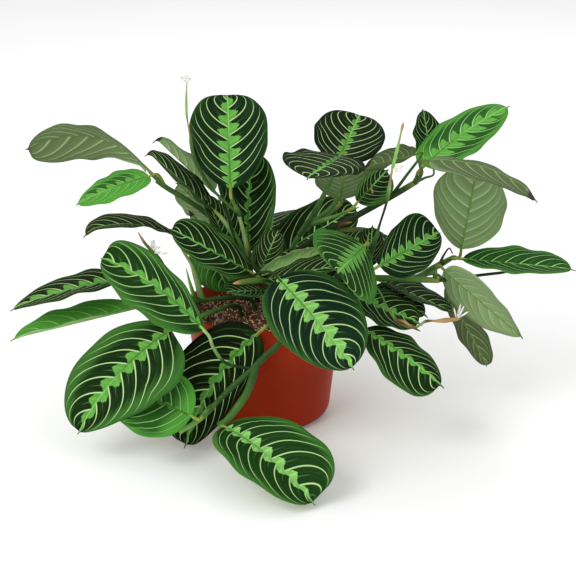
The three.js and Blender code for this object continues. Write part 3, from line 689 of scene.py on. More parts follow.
# How far the lime reaches out, from one side vein (0) to the next one towards the tip (1): a long tooth
# and two shorter ones, as on a maple leaf's lobe. The taper is along the blade, from base to tip.
LOBE = [(0, 0.06), (0.06, 0.45), (0.12, 0.8), (0.17, 0.76), (0.24, 0.96), (0.34, 1), (0.4, 0.8),
        (0.47, 0.87), (0.54, 0.62), (0.6, 0.64), (0.68, 0.36), (0.76, 0.28), (0.87, 0.09), (1, 0.05)]
LIME_TAPER = [(0, 0.3), (0.08, 0.65), (0.25, 0.95), (0.5, 1), (0.78, 0.8), (0.92, 0.45), (1, 0.1)]
LIME_SHARE = 0.34


def unit(vectors):
    """The same directions, one long."""
    return vectors / np.linalg.norm(vectors, axis=-1, keepdims=True)


def blade_frame(row):
    """The blade's own directions: along it, to its right and up from its upper face."""
    along = unit(np.subtract(row["tip"], row["base"]).astype(float))
    level = unit(np.cross(along, (0, 0, 1)))
    turn = math.radians(-row["roll"])
    right = level * math.cos(turn) + np.cross(along, level) * math.sin(turn)
    return along, right, np.cross(right, along)


def half_width(row, u, v):
    """Half the blade's width, in millimetres, at shares u of its length, and the drip tip's beyond 1."""
    side = np.sign(v)
    b = row["broadest"] + row["skew"] * side
    within = np.minimum(u, 1)
    share = (within / b) ** b * ((1 - within) / (1 - b)) ** (1 - b)
    broad = row["width"] / 2 * (1 + row["offset"] * side)
    blade = BLADE_END_HALF + (broad - BLADE_END_HALF) * share ** row["taper"]
    blade = np.maximum(blade, row["neck"] * (1 - within) ** 3)
    left = np.clip((row["end"] - u) / (row["end"] - DRIP_START), 0, 1)
    return np.maximum(np.where(u > 1, DRIP_END_HALF, blade), DRIP_HALF * left ** 1.7)


def since_vein(u, v, seed):
    """How far on from the last side vein a point is, from 0 to 1 at the next one."""
    out, grown = np.abs(v), np.clip(u / HUG, 0, 1)
    lean = LEAN * (HUG_LEAN + (1 - HUG_LEAN) * grown)
    root = np.maximum(u - lean * out - SWEEP * grown * out ** 3, 0)
    return np.mod(VEINS * root ** CROWD + seed + np.where(v < 0, OTHER_SIDE, 0), 1)


def blade_points(row, u, v):
    """Points of the blade's middle surface, and how far they are from the midrib, in millimetres."""
    along, right, up = blade_frame(row)
    base, tip, seed = np.array(row["base"], float), np.array(row["tip"], float), row["seed"]
    u, v = np.broadcast_arrays(np.asarray(u, float)[..., None], np.asarray(v, float)[..., None])
    within = np.minimum(u, 1)
    bow, lean = 4 * within * (1 - within), 4 * (1 - 2 * within)
    spine = base + (tip - base) * u + up * row["arch"] * bow + right * row["bend"] * bow
    heading = unit(tip - base + up * row["arch"] * lean + right * row["bend"] * lean)
    over = unit(np.cross(right, heading))
    across = np.cross(heading, over)
    curl = np.clip((u - HOOK_START) / (row["end"] - HOOK_START), 0, 1)
    spine = spine - np.array([0, 0, 1]) * row["hook"] * curl ** 2
    out = np.abs(v)
    reach = half_width(row, u, v) * out
    lift = np.radians(np.where(v < 0, row["left"], row["right"]))
    hump = np.sin(np.pi * within)
    ripple = row["wave"] * out * out * hump * np.sin(RIPPLES * np.pi * u + np.where(v < 0, 1, 3))
    pillow = np.sin(np.pi * since_vein(u, v, seed)) * np.minimum(1, out * 3) * (1 - out ** 4)
    frill = np.sin(FRILL_WAVES * u + 9 * seed + 3 * (v < 0)) * out ** 3 * hump
    height = reach * np.sin(lift) * (1.4 - 0.4 * out * out) + ripple + PILLOW * pillow + FRILL * frill
    reach = reach * (1 + NICK * np.sin(NICK_WAVES * u + 21 * seed + 2 * (v < 0)) * out)
    place = spine + across * np.sign(v) * reach * np.cos(lift) + over * height
    return place, reach[..., 0]


def sheet_faces(rows, lanes, other_way=False):
    """Faces of a closed thin sheet of two grids of points: its first side, its second and its rim."""
    at = np.arange(rows * lanes).reshape(rows, lanes)
    a, b, c, d = at[:-1, :-1], at[:-1, 1:], at[1:, 1:], at[1:, :-1]
    ring = np.concatenate([at[0, :-1], at[:-1, -1], at[-1, :0:-1], at[:0:-1, 0]])
    after = np.roll(ring, -1)
    if other_way:
        b, d, ring, after = d, b, after, ring
    first = np.stack([a, b, c, d], -1).reshape(-1, 4)
    second = np.stack([a, d, c, b], -1).reshape(-1, 4) + at.size
    return first, second, np.stack([after, ring, ring + at.size, after + at.size], -1)


def blade_mesh(row, materials):
    """A closed thin blade with a keel under its midrib: the upper and lower faces are cut alike."""
    steps = np.linspace(0, 1, ROWS)
    u = 0.45 * steps + 0.275 * (1 - np.cos(np.pi * steps))
    u = np.concatenate([u, 1 + (row["end"] - 1) * np.linspace(0, 1, DRIP_ROWS + 1)[1:]])
    lanes = np.linspace(-1, 1, 2 * LANES_A_SIDE + 1)
    v = np.sign(lanes) * np.abs(lanes) ** LANE_CROWD
    grid_u, grid_v = np.meshgrid(u, v, indexing="ij")
    middle, reach = blade_points(row, grid_u, grid_v)
    normal = unit(np.cross(np.gradient(middle, axis=1), np.gradient(middle, axis=0)))
    keel = KEEL * np.exp(-(reach / KEEL_WIDTH) ** 2) * np.maximum(1 - 0.85 * grid_u, 0)
    half = 0.5 * BLADE_THICKNESS * (1 - 0.6 * np.abs(grid_v) ** 8)
    upper = middle + normal * (half - 0.4 * keel)[..., None]
    lower = middle - normal * (half + keel)[..., None]
    top, under, rim = sheet_faces(*grid_u.shape)
    faces = np.concatenate([top, under, rim])
    points = np.concatenate([upper.reshape(-1, 3), lower.reshape(-1, 3)])
    mesh = mesh_of(row["name"], points, faces.tolist(), materials[0])
    mesh.materials.append(materials[1])
    mesh.polygons.foreach_set("material_index", [0] * len(top) + [1] * (len(under) + len(rim)))
    where = np.stack([grid_u, (grid_v + 1) / 2], -1).reshape(-1, 2)
    where = np.concatenate([where, where])[faces.reshape(-1)]
    mesh.uv_layers.new(name="blade").data.foreach_set("uv", where.reshape(-1))
    same = ("young", "spots", "side", "olive", "pale", "cool", "edge", "dull", "dry", "seed", "band")
    values = {name: [row[name]] * len(points) for name in same}
    for name, each in {**values, "reach": np.tile(reach.reshape(-1), 2)}.items():
        mesh.attributes.new(name, "FLOAT", "POINT").data.foreach_set("value", each)
    return mesh


class Vein:
    """Where a point of a blade lies among its veins, as wires of its material."""

    def __init__(self, f, width_share=1.0):
        uv = f.node("ShaderNodeUVMap", {"uv_map": "blade"})
        self.u, across, _ = f.split(uv)
        self.side = across * 2 - 1
        self.out = self.side.size()
        self.reach, self.seed = f.attribute("reach"), f.attribute("seed")
        grown = (self.u / HUG).most(1.0)
        lean = (grown * (1 - HUG_LEAN) + HUG_LEAN) * LEAN
        root = self.u - self.out * lean - self.out * self.out * self.out * grown * SWEEP
        self.order = root.least(0.0) ** CROWD * VEINS + self.seed + self.side.below(0.0) * OTHER_SIDE
        self.since = self.order.part()
        from_vein = 0.5 - (self.since - 0.5).size()
        slant = 1 + (self.out * self.out * 3 * SWEEP + LEAN) * 2
        half = 0.5 * VEIN_WIDTH * width_share * VEINS / USUAL_LENGTH
        width = slant * half * (1.1 - self.out * 0.6)
        self.side_vein = from_vein.rise(width * 1.5, width * 0.4) * self.out.rise(0.98, 0.75)
        self.side_vein = self.side_vein * root.rise(0.0, 0.02)
        between = (self.since - 0.55).size()
        self.half_vein = between.rise(width, width * 0.3) * self.out.rise(0.4, 0.2)
        self.midrib = self.reach.rise(1.1, 0.45)
        self.feather = f.noise(f.join(self.order * 5, self.out * 1.3, self.seed * 9), 1.6, 3, 0.6)
        self.wobble = f.noise(f.join(self.order * 2.3, self.side.below(0.0) * 7, self.seed * 31), 1.0, 2)
        self.thread = ((self.order * 7).part() - 0.5).size()
        self.withered = (self.u + f.attribute("dry")).rise(1.0, 1.03)


def blade_ground(f, vein):
    """The upper face without its pattern: a dark field that fades into a green margin. A young one is
    bright with dark blotches. Fine threads run along with the side veins."""
    young, dull = f.attribute("young"), f.attribute("dull")
    deep = f.mix(young, f.mix(f.attribute("cool"), TOP_DEEP, TOP_COOL), YOUNG_DEEP)
    deep = f.mix(f.attribute("olive"), deep, TOP_OLIVE)
    deep = f.mix(dull, deep, f.mix(1.0, deep, TOP_DULL, "MULTIPLY"))
    green = f.mix(young, TOP_EDGE, YOUNG_EDGE)
    ragged = vein.out + (vein.feather - 0.5) * 0.55 + f.attribute("edge")
    margin = ragged.rise(0.84, 1.15) * (0.85 - dull * 0.3)
    spotted = (f.attribute("side") * vein.side).rise(-0.1, 0.0)
    blotch = (vein.out + (vein.wobble - 0.5) * 0.5 - f.attribute("spots")).rise(0.12, -0.1) * spotted
    blotch = blotch * vein.u.rise(0.1, 0.3) * vein.u.rise(0.95, 0.8) * vein.since.rise(0.02, 0.1)
    color = f.mix(margin.least(young.rise(0.5, 0.8) * (1 - blotch)), deep, green)
    thread = vein.thread.rise(0.3, 0.5)
    color = f.mix(thread * (young * 0.4 + 0.13) * (1 - dull * 0.6), color, green)
    color = f.mix(vein.thread.rise(0.2, 0.05) * young * 0.35, color, LIME)
    return f.mix(vein.feather.rise(0.45, 0.75) * 0.22, color, green)


def lime_pattern(f, vein):
    """How much the lime pattern along the midrib covers a point, and its colour there: paler in some
    leaves, and darker inside each lobe."""
    notch = (0.22 - vein.u * 0.3).least(0.05)
    lobe = notch + f.ramp(vein.since, LOBE) * (1 - notch)
    band = f.attribute("band") * f.ramp(vein.u, LIME_TAPER) * lobe * (0.8 + vein.wobble * 0.4)
    color = f.mix(f.attribute("pale"), LIME, LIME_PALE)
    color = f.mix(f.attribute("dull") * 0.4, color, MIDRIB_DARK)
    inner = (vein.reach / (band + 0.5)).rise(0.98, 0.5) * (vein.since - 0.36).size().rise(0.04, 0.12)
    return (vein.reach - band).rise(0.25, -0.25), f.mix(inner * 0.35, color, MIDRIB_DARK)


def blade_top():
    """The velvety upper face: its ground, the lime pattern on it, and pale side veins over both."""
    f = Finish("leaf_top", specular_ior_level=0.03)
    vein = Vein(f)
    young = f.attribute("young")
    lime, lime_color = lime_pattern(f, vein)
    color = f.mix(lime, blade_ground(f, vein), lime_color)
    vein_color = f.mix(young * 0.35, VEIN_PALE, LIME)
    vein_color = f.mix(lime * 0.6, vein_color, LIME_PALE)
    color = f.mix(vein.half_vein * 0.12, color, vein_color)
    color = f.mix(vein.side_vein * (0.9 - lime * 0.3), color, vein_color)
    midrib = f.mix(vein.u.rise(0.35, 0.65), MIDRIB_DARK, LIME_PALE)
    color = f.mix(vein.midrib * 0.6, color, midrib)
    color = f.mix(vein.withered * (1 - young * 0.6), color, DRY_TIP)
    grain = f.noise(f.place(), 900.0, 2)
    relief = vein.thread.rise(0.3, 0.5) * 0.2 - vein.side_vein - vein.midrib + grain * 0.3
    roughness = 0.58 + grain * 0.12 - vein.side_vein * 0.05
    return f.wear(base_color=color, roughness=roughness, normal=f.bump(relief, TOP_BUMP * MM))


def blade_under():
    """The pale, smoother underside, with painted shade that darkens each strip from one side vein towards
    the next, and broader veins that stand out.
    """
    f = Finish("leaf_under", specular_ior_level=0.15)
    vein = Vein(f, 1.6)
    dull, pale = f.attribute("dull"), f.attribute("pale")
    base = f.mix(f.attribute("olive"), UNDER_SAGE, UNDER_OLIVE)
    base = f.mix(pale * 0.45, base, UNDER_VEIN)
    base = f.mix(f.attribute("young") * 0.9, base, UNDER_YOUNG)
    dark = f.mix(1.0, base, UNDER_DARK, "MULTIPLY")
    base = f.mix(dull, base, dark)
    color = f.mix(vein.feather.rise(0.3, 0.75) * (0.5 - pale * 0.2), base, dark)
    # Painted shade of the ribbing: each strip darkens from one side vein towards the next.
    color = f.mix(vein.since.rise(0.1, 0.9) * (0.55 - pale * 0.4), color, dark)
    thread = vein.thread.rise(0.25, 0.5)
    color = f.mix(thread * 0.3, color, UNDER_VEIN)
    color = f.mix(vein.side_vein * (0.9 - pale * 0.6 - dull * 0.5), color, UNDER_VEIN)
    color = f.mix(vein.midrib, color, MIDRIB_GREEN)
    color = f.mix(vein.withered, color, DRY_TIP)
    relief = f.bump(vein.side_vein + vein.midrib + thread * 0.3, UNDER_BUMP * MM)
    return f.wear(base_color=color, roughness=0.62 + vein.feather * 0.1, normal=relief)


blade_finishes = [blade_top(), blade_under()]
usual_looks = {"young": 0, "spots": 0.5, "side": 0, "olive": 0, "lime": 1, "pale": 0, "cool": 0, "edge": 0,
               "dull": 0, "dry": 0, "drip": DRIP_LENGTH, "hook": HOOK_DROP}
for number, row in enumerate(row for rows in LEAVES.values() for row in rows):
    row.update({**usual_looks, **LOOKS.get(row["name"], {})}, seed=(number * SEED_STEP) % 1)
    row["end"] = 1 + row["drip"] / math.dist(row["base"], row["tip"])
    row["band"] = LIME_SHARE * row["width"] / 2 * row["lime"]
    nodes = [] if row["name"].startswith("tucked") else ["leaf_" + row["name"]]
    new_piece("blade_" + row["name"], blade_mesh(row, blade_finishes), "leaf_blade", *nodes)


# Stems and leaf stalks: round and juicy, wrapped at the foot of each stalk in its own pale-edged
# sheath, and swollen just below each blade into a yellowish joint that lets the leaf fold at night.
# A line's look lists shares of its length, each with its radius there and its colour.
def stem(radius, hole, route, branch=None):
    """A shoot's own stem: where it leaves the soil, its route from there, and a side branch's."""
    return {"radius": radius, "hole": hole, "route": route, "branch": branch}


STEMS = {
    "left_shoot": stem(2.6, (-14, 38), [(-17, 36, 126), (-25, 31, 158), (-43, 22, 191), (-69, 12, 218),
                                        (-98, 4, 240), (-106, 2, 247)]),
    "low_left_shoot": stem(2.4, (-10, -1), [(-13, -3, 122), (-26, -11, 128), (-46, -20, 130),
                                            (-66, -28, 131)]),
    "upper_left_shoot": stem(2.4, (-8, 22), [(-11, 19, 126), (-14, 16, 142), (-16, 12, 160),
                                             (-19, 6, 184), (-25, 2, 211)]),
    "inner_left_shoot": stem(2.2, (-22, 54), [(-28, 54, 126), (-38, 50, 148)]),
    "front_shoot": stem(3, (20, -12), [(20, -18, 121), (22, -42, 127), (24, -72, 130), (24, -92, 125),
                                       (15, -103, 115), (2, -107, 104), (-10, -109, 92), (-32, -112, 72),
                                       (-61, -115, 42), (-81, -117, 29)]),
    "front_left_shoot": stem(2.2, (-24, -16), [(-25, -18, 120), (-34, -40, 130), (-46, -60, 133)]),
    "crown_shoot": stem(2.4, (8, 4), [(6, 0, 126), (2, -6, 140)]),
    "upper_right_shoot": stem(3.2, (8, 38), [(7, 34, 126), (26, 22, 160), (66, 11, 193), (81, 8, 202),
                                             (126, 2, 230), (152, 0, 247)]),
    "upper_shoot": stem(2.4, (20, 18), [(21, 15, 126), (26, 8, 156), (32, 0, 185), (46, -5, 203)]),
    "right_shoot": stem(2.8, (34, 0), [(38, -6, 126), (46, -13, 142), (66, -20, 150), (108, -25, 154),
                                       (145, -28, 154), (174, -29, 153)],
                        branch=[(128, -27, 153), (152, -26, 155), (170, -12, 160), (190, 2, 166)]),
    "back_shoot": stem(2.4, (6, 60), [(6, 62, 126), (6, 65, 142)]),
}
STALK_RADIUS, STALK_RUN, BRANCH_RADIUS = 1.4, 9, 3.3
JOINT_LENGTH, JOINT_END = 15, 4
MIDRIB_SHARES = (0.0, 0.01, 0.04)
STEM_FOOT, STEM_RISE = 96, 18
STEM_SIDES, STEM_STEP = 14, 2.5
STEM_BUMP = 0.4
STEM_DARK, STEM_GREEN, STALK_GREEN = shade("#223818"), shade("#305020"), shade("#466e2e")
SHEATH_GREEN, SHEATH_PALE, JOINT_YELLOW = shade("#5f8844"), shade("#8ea768"), shade("#84943f")
BRACT_GREEN, OLIVE_GREEN = shade("#8fc06a"), shade("#5f6e30")
DRIED_TAN, DRIED_BROWN, DRIED_PINK = shade("#b8935f"), shade("#5a4028"), shade("#a8806a")
STEM_FLECK, STEM_CLOUD = shade("#b9c68a"), (0.5, 0.55, 0.5)
STEM_LOOKS = {
    "right_shoot": [(0, 2.8, STEM_DARK), (0.5, 3, STEM_GREEN), (0.7, 3.3, STALK_GREEN),
                    (0.9, 3.2, SHEATH_GREEN), (1, 2.8, JOINT_YELLOW)],
    "upper_right_shoot": [(0, 3.2, STEM_DARK), (0.7, 3.2, STEM_DARK), (0.94, 3, STEM_GREEN),
                          (1, 2.8, JOINT_YELLOW)],
    "front_shoot": [(0, 3, STEM_GREEN), (0.62, 3.2, STEM_GREEN), (0.8, 2.6, STEM_GREEN),
                    (0.9, 2.7, SHEATH_GREEN), (1, 2.4, BRACT_GREEN)],
    "upper_left_shoot": [(0, 2.4, STEM_DARK), (0.3, 3.4, STEM_DARK), (0.55, 3, OLIVE_GREEN),
                         (0.8, 2.2, SHEATH_PALE), (1, 1.7, SHEATH_PALE)],
}
HIDDEN_STALK = [(0, 1.5, STEM_DARK), (1, 1, STEM_DARK)]
STALK_LOOKS = {
    "front_4": [(0, 3.2, STEM_GREEN), (0.12, 4, STEM_GREEN), (0.6, 3.5, STALK_GREEN),
                (0.86, 2.7, STALK_GREEN), (0.94, 1.7, JOINT_YELLOW), (1, 0.8, JOINT_YELLOW)],
    "left_1": [(0, 2, STALK_GREEN), (0.5, 2, OLIVE_GREEN), (1, 1, JOINT_YELLOW)],
    "left_2": [(0, 2, STALK_GREEN), (0.5, 1.6, JOINT_YELLOW), (1, 0.8, JOINT_YELLOW)],
    "front_1": [(0, 1.5, STEM_DARK), (0.42, 1.5, STEM_DARK), (0.5, 1.7, SHEATH_GREEN),
                (0.8, 1.6, SHEATH_PALE), (0.94, 1.6, BRACT_GREEN), (1, 0.8, BRACT_GREEN)],
    **{f"crown_{number}": HIDDEN_STALK for number in range(2, 6)},
    **{f"tucked_{number}": HIDDEN_STALK for number in range(1, 8)},
    "upper_right_2": [(0, 1.5, STALK_GREEN), (1, 0.9, STALK_GREEN)],
    "upper_right_3": [(0, 2.2, STEM_GREEN), (0.5, 1.8, OLIVE_GREEN), (1, 1, OLIVE_GREEN)],
    "upper_right_4": [(0, 1.8, STEM_GREEN), (0.6, 1.4, STALK_GREEN), (1, 0.8, OLIVE_GREEN)],
    "upper_1": [(0, 2.6, STEM_GREEN), (0.5, 2.2, STALK_GREEN), (0.8, 1.5, JOINT_YELLOW),
                (1, 0.9, JOINT_YELLOW)],
    "upper_2": [(0, 3, STEM_GREEN), (0.4, 3, STEM_GREEN), (0.7, 1.8, STALK_GREEN), (1, 0.9, JOINT_YELLOW)],
    "low_left_1": [(0, 3.4, SHEATH_GREEN), (0.3, 3, SHEATH_PALE), (0.45, 1.5, SHEATH_PALE),
                   (0.7, 1.6, OLIVE_GREEN), (0.92, 1.5, STEM_DARK), (1, 0.8, STEM_DARK)],
    "upper_left_3": [(0, 2.6, STALK_GREEN), (0.4, 3.2, STALK_GREEN), (0.7, 3, SHEATH_PALE),
                     (0.85, 1.6, SHEATH_PALE), (1, 0.8, SHEATH_PALE)],
    "upper_left_4": [(0, 2.6, STALK_GREEN), (0.5, 3.4, SHEATH_GREEN), (0.75, 2.4, SHEATH_PALE),
                     (0.9, 1.6, JOINT_YELLOW), (1, 0.8, JOINT_YELLOW)],
    "upper_3": [(0, 2.4, STEM_GREEN), (0.4, 3.2, STALK_GREEN), (0.7, 2.2, OLIVE_GREEN),
                (0.9, 1.8, JOINT_YELLOW), (1, 0.9, JOINT_YELLOW)],
}
FLOWER_STALKS = {
    "upper_left_shoot": [
        ([(-24, 2, 211), (-52, 6, 238), (-69, 10, 269), (-73, 15, 290), (-76, 18, 310), (-76, 20, 329),
          (-75, 20, 342)],
         [(0, 1.2, STALK_GREEN), (0.46, 1.8, STEM_GREEN), (0.6, 1.8, STALK_GREEN), (0.65, 0.9, OLIVE_GREEN),
          (0.72, 0.7, DRIED_PINK), (0.76, 0.8, OLIVE_GREEN), (0.81, 1.4, BRACT_GREEN),
          (0.87, 1.3, SHEATH_PALE), (0.95, 0.7, SHEATH_PALE), (1, 0.5, DRIED_PINK)])],
    "right_shoot": [
        ([(100, -24, 153), (104, -18, 166), (108, -20, 184), (114, -26, 210), (120, -36, 238),
          (123, -48, 270), (128, -54, 298), (132, -56, 320)],
         [(0, 1, OLIVE_GREEN), (0.06, 2.2, OLIVE_GREEN), (0.2, 2.8, STEM_GREEN), (0.3, 1.6, STALK_GREEN),
          (0.36, 1.1, STEM_DARK), (0.5, 1.2, STEM_DARK), (0.52, 2, STALK_GREEN), (0.6, 1.8, BRACT_GREEN),
          (0.65, 1.1, DRIED_PINK), (0.71, 1.1, DRIED_TAN), (0.75, 1.7, BRACT_GREEN),
          (0.86, 1.6, BRACT_GREEN), (0.9, 1, SHEATH_PALE), (0.95, 0.9, SHEATH_PALE),
          (0.98, 1.5, DRIED_PINK), (1, 0.7, DRIED_TAN)]),
        ([(100, -24, 153), (108, -38, 153), (114, -60, 151), (121, -82, 142), (130, -90, 132),
          (145, -88, 126), (158, -74, 127), (173, -60, 122), (194, -52, 121)],
         [(0, 1, STALK_GREEN), (0.44, 1, SHEATH_GREEN), (0.5, 1.7, DRIED_BROWN), (0.56, 1.3, OLIVE_GREEN),
          (0.68, 1.2, SHEATH_PALE), (0.73, 1.6, DRIED_BROWN), (0.8, 1, DRIED_TAN), (0.9, 2.6, DRIED_TAN),
          (0.97, 1.8, DRIED_TAN), (1, 0.5, DRIED_TAN)])],
    "low_left_shoot": [
        ([(-64, -27, 131), (-80, -27, 139), (-93, -29, 157), (-104, -34, 179), (-116, -38, 195),
          (-122, -40, 207)],
         [(0, 0.9, STALK_GREEN), (0.4, 1.2, STALK_GREEN), (0.6, 1.9, OLIVE_GREEN), (0.78, 1.7, OLIVE_GREEN),
          (0.86, 1.5, OLIVE_GREEN), (0.92, 1.4, DRIED_PINK), (1, 0.5, DRIED_PINK)])],
}


def smooth_route(points):
    """Points every few millimetres on the smooth curve through these, and the share of its length."""
    points = np.array(points, float)
    ends = np.vstack([2 * points[0] - points[1], points, 2 * points[-1] - points[-2]])
    places = []
    for i in range(1, len(ends) - 2):
        p = ends[i - 1:i + 3]
        gaps = np.maximum(np.sqrt(np.linalg.norm(np.diff(p, axis=0), axis=1)), 1e-6)
        first = (p[1] - p[0]) / gaps[0] - (p[2] - p[0]) / (gaps[0] + gaps[1]) + (p[2] - p[1]) / gaps[1]
        second = (p[2] - p[1]) / gaps[1] - (p[3] - p[1]) / (gaps[1] + gaps[2]) + (p[3] - p[2]) / gaps[2]
        first, second = first * gaps[1], second * gaps[1]
        count = max(2, round(np.linalg.norm(p[2] - p[1]) / STEM_STEP))
        t = (np.arange(count) / count)[:, None]
        places.append(p[1] + first * t + (3 * (p[2] - p[1]) - 2 * first - second) * t ** 2
                      + (2 * (p[1] - p[2]) + first + second) * t ** 3)
    places = np.vstack([*places, points[-1:]])
    run = np.concatenate([[0], np.cumsum(np.linalg.norm(np.diff(places, axis=0), axis=1))])
    return places, run


class Strands:
    """The lines of one shoot, each point with its thickness and colour."""

    def __init__(self):
        self.points, self.edges, self.thick, self.tint = [], [], [], []

    def add(self, route, look):
        """A line along the route, with the radius and colour of its look at each share of its length."""
        places, run = smooth_route(route)
        shares, thick, tints = zip(*look)
        share = run / run[-1]
        start = len(self.points)
        self.points += places.tolist()
        self.edges += [(start + i, start + i + 1) for i in range(len(places) - 1)]
        self.thick += np.interp(share, shares, thick).tolist()
        self.tint += np.column_stack([np.interp(share, shares, part) for part in zip(*tints)]).tolist()

    def mesh(self, name):
        mesh = bpy.data.meshes.new(name)
        mesh.from_pydata((np.array(self.points) * MM).tolist(), self.edges, [])
        thick = mesh.attributes.new("thick", "FLOAT", "POINT")
        thick.data.foreach_set("value", np.array(self.thick) * MM)
        rgba = np.column_stack([self.tint, np.ones(len(self.tint))])
        mesh.attributes.new("tint", "FLOAT_COLOR", "POINT").data.foreach_set("color", rgba.reshape(-1))
        return mesh


def leaf_stalk(strands, row):
    """Sheath at its foot, slim stalk, and the swollen joint that runs on into the blade's midrib."""
    near, _ = blade_points(row, np.array(MIDRIB_SHARES), np.zeros(len(MIDRIB_SHARES)))
    heading = unit(near[1] - near[0])
    route = [*row["route"], (near[0] - heading * STALK_RUN).tolist(), near[0].tolist(), near[2].tolist()]
    length = sum(math.dist(a, b) for a, b in zip(route, route[1:]))
    joint, end = 1 - min(JOINT_LENGTH / length, 0.5), 1 - min(JOINT_END / length, 0.2)
    usual = [(0, 2.5, STEM_GREEN), (0.25, 2.7, STALK_GREEN), (0.5 * joint, 1.9, SHEATH_GREEN),
             (0.9 * joint, STALK_RADIUS, STALK_GREEN), (joint, 1.7, JOINT_YELLOW),
             (end, 1.5, JOINT_YELLOW), (1, 0.8, JOINT_YELLOW)]
    strands.add(route, STALK_LOOKS.get(row["name"], usual))


def stalk_rule(material):
    """Round stems swept along the lines of a shoot, as thick as each point says."""
    rule = Rule("stalks", Sides="Int")
    line = rule.node("GeometryNodeMeshToCurve", {}, {"Mesh": rule.given()})
    sockets = {"Resolution": rule.given("Sides"), "Radius": 1.0}
    ring = rule.node("GeometryNodeCurvePrimitiveCircle", {}, sockets)
    thick = rule.node("GeometryNodeInputNamedAttribute", {"data_type": "FLOAT"}, {"Name": "thick"})
    sockets = {"Curve": line, "Profile Curve": ring, "Scale": thick, "Fill Caps": True}
    return rule.give(rule.node("GeometryNodeCurveToMesh", {}, sockets), material)


def stem_skin():
    """Juicy green skin in each line's own colours, clouded and finely flecked."""
    f = Finish("stem_green", specular_ior_level=0.12)
    place = f.place()
    tint = f.attribute("tint", out=0)
    cloud = f.noise(place, 60.0, 3)
    fleck = f.noise(place, 420.0, 3, 0.6)
    color = f.mix(cloud.rise(0.35, 0.7) * 0.5, tint, f.mix(1.0, tint, STEM_CLOUD, "MULTIPLY"))
    color = f.mix(fleck.rise(0.6, 0.75) * 0.2, color, STEM_FLECK)
    relief = f.bump(cloud + fleck * 0.4, STEM_BUMP * MM)
    return f.wear(base_color=color, roughness=0.42 + fleck * 0.15, normal=relief)


stem_rule = stalk_rule(stem_skin())
for name, row in STEMS.items():
    strands = Strands()
    x, y = row["hole"]
    radius = row["radius"]
    usual = [(0, radius, STEM_GREEN), (0.6, radius, STEM_GREEN), (1, radius, STALK_GREEN)]
    route = [(x, y, STEM_FOOT), (x, y, STEM_FOOT + STEM_RISE), *row["route"]]
    strands.add(route, STEM_LOOKS.get(name, usual))
    if row["branch"]:
        strands.add(row["branch"], [(0, 2, STEM_GREEN), (0.4, BRANCH_RADIUS, STALK_GREEN),
                                    (0.8, BRANCH_RADIUS, STALK_GREEN), (1, 2.4, JOINT_YELLOW)])
    for each in LEAVES[name]:
        leaf_stalk(strands, each)
    for route, look in FLOWER_STALKS.get(name, []):
        strands.add(route, look)
    new_piece(name + "_grown", stem_rule.run(strands.mesh(name), Sides=STEM_SIDES), "green_stem", name)


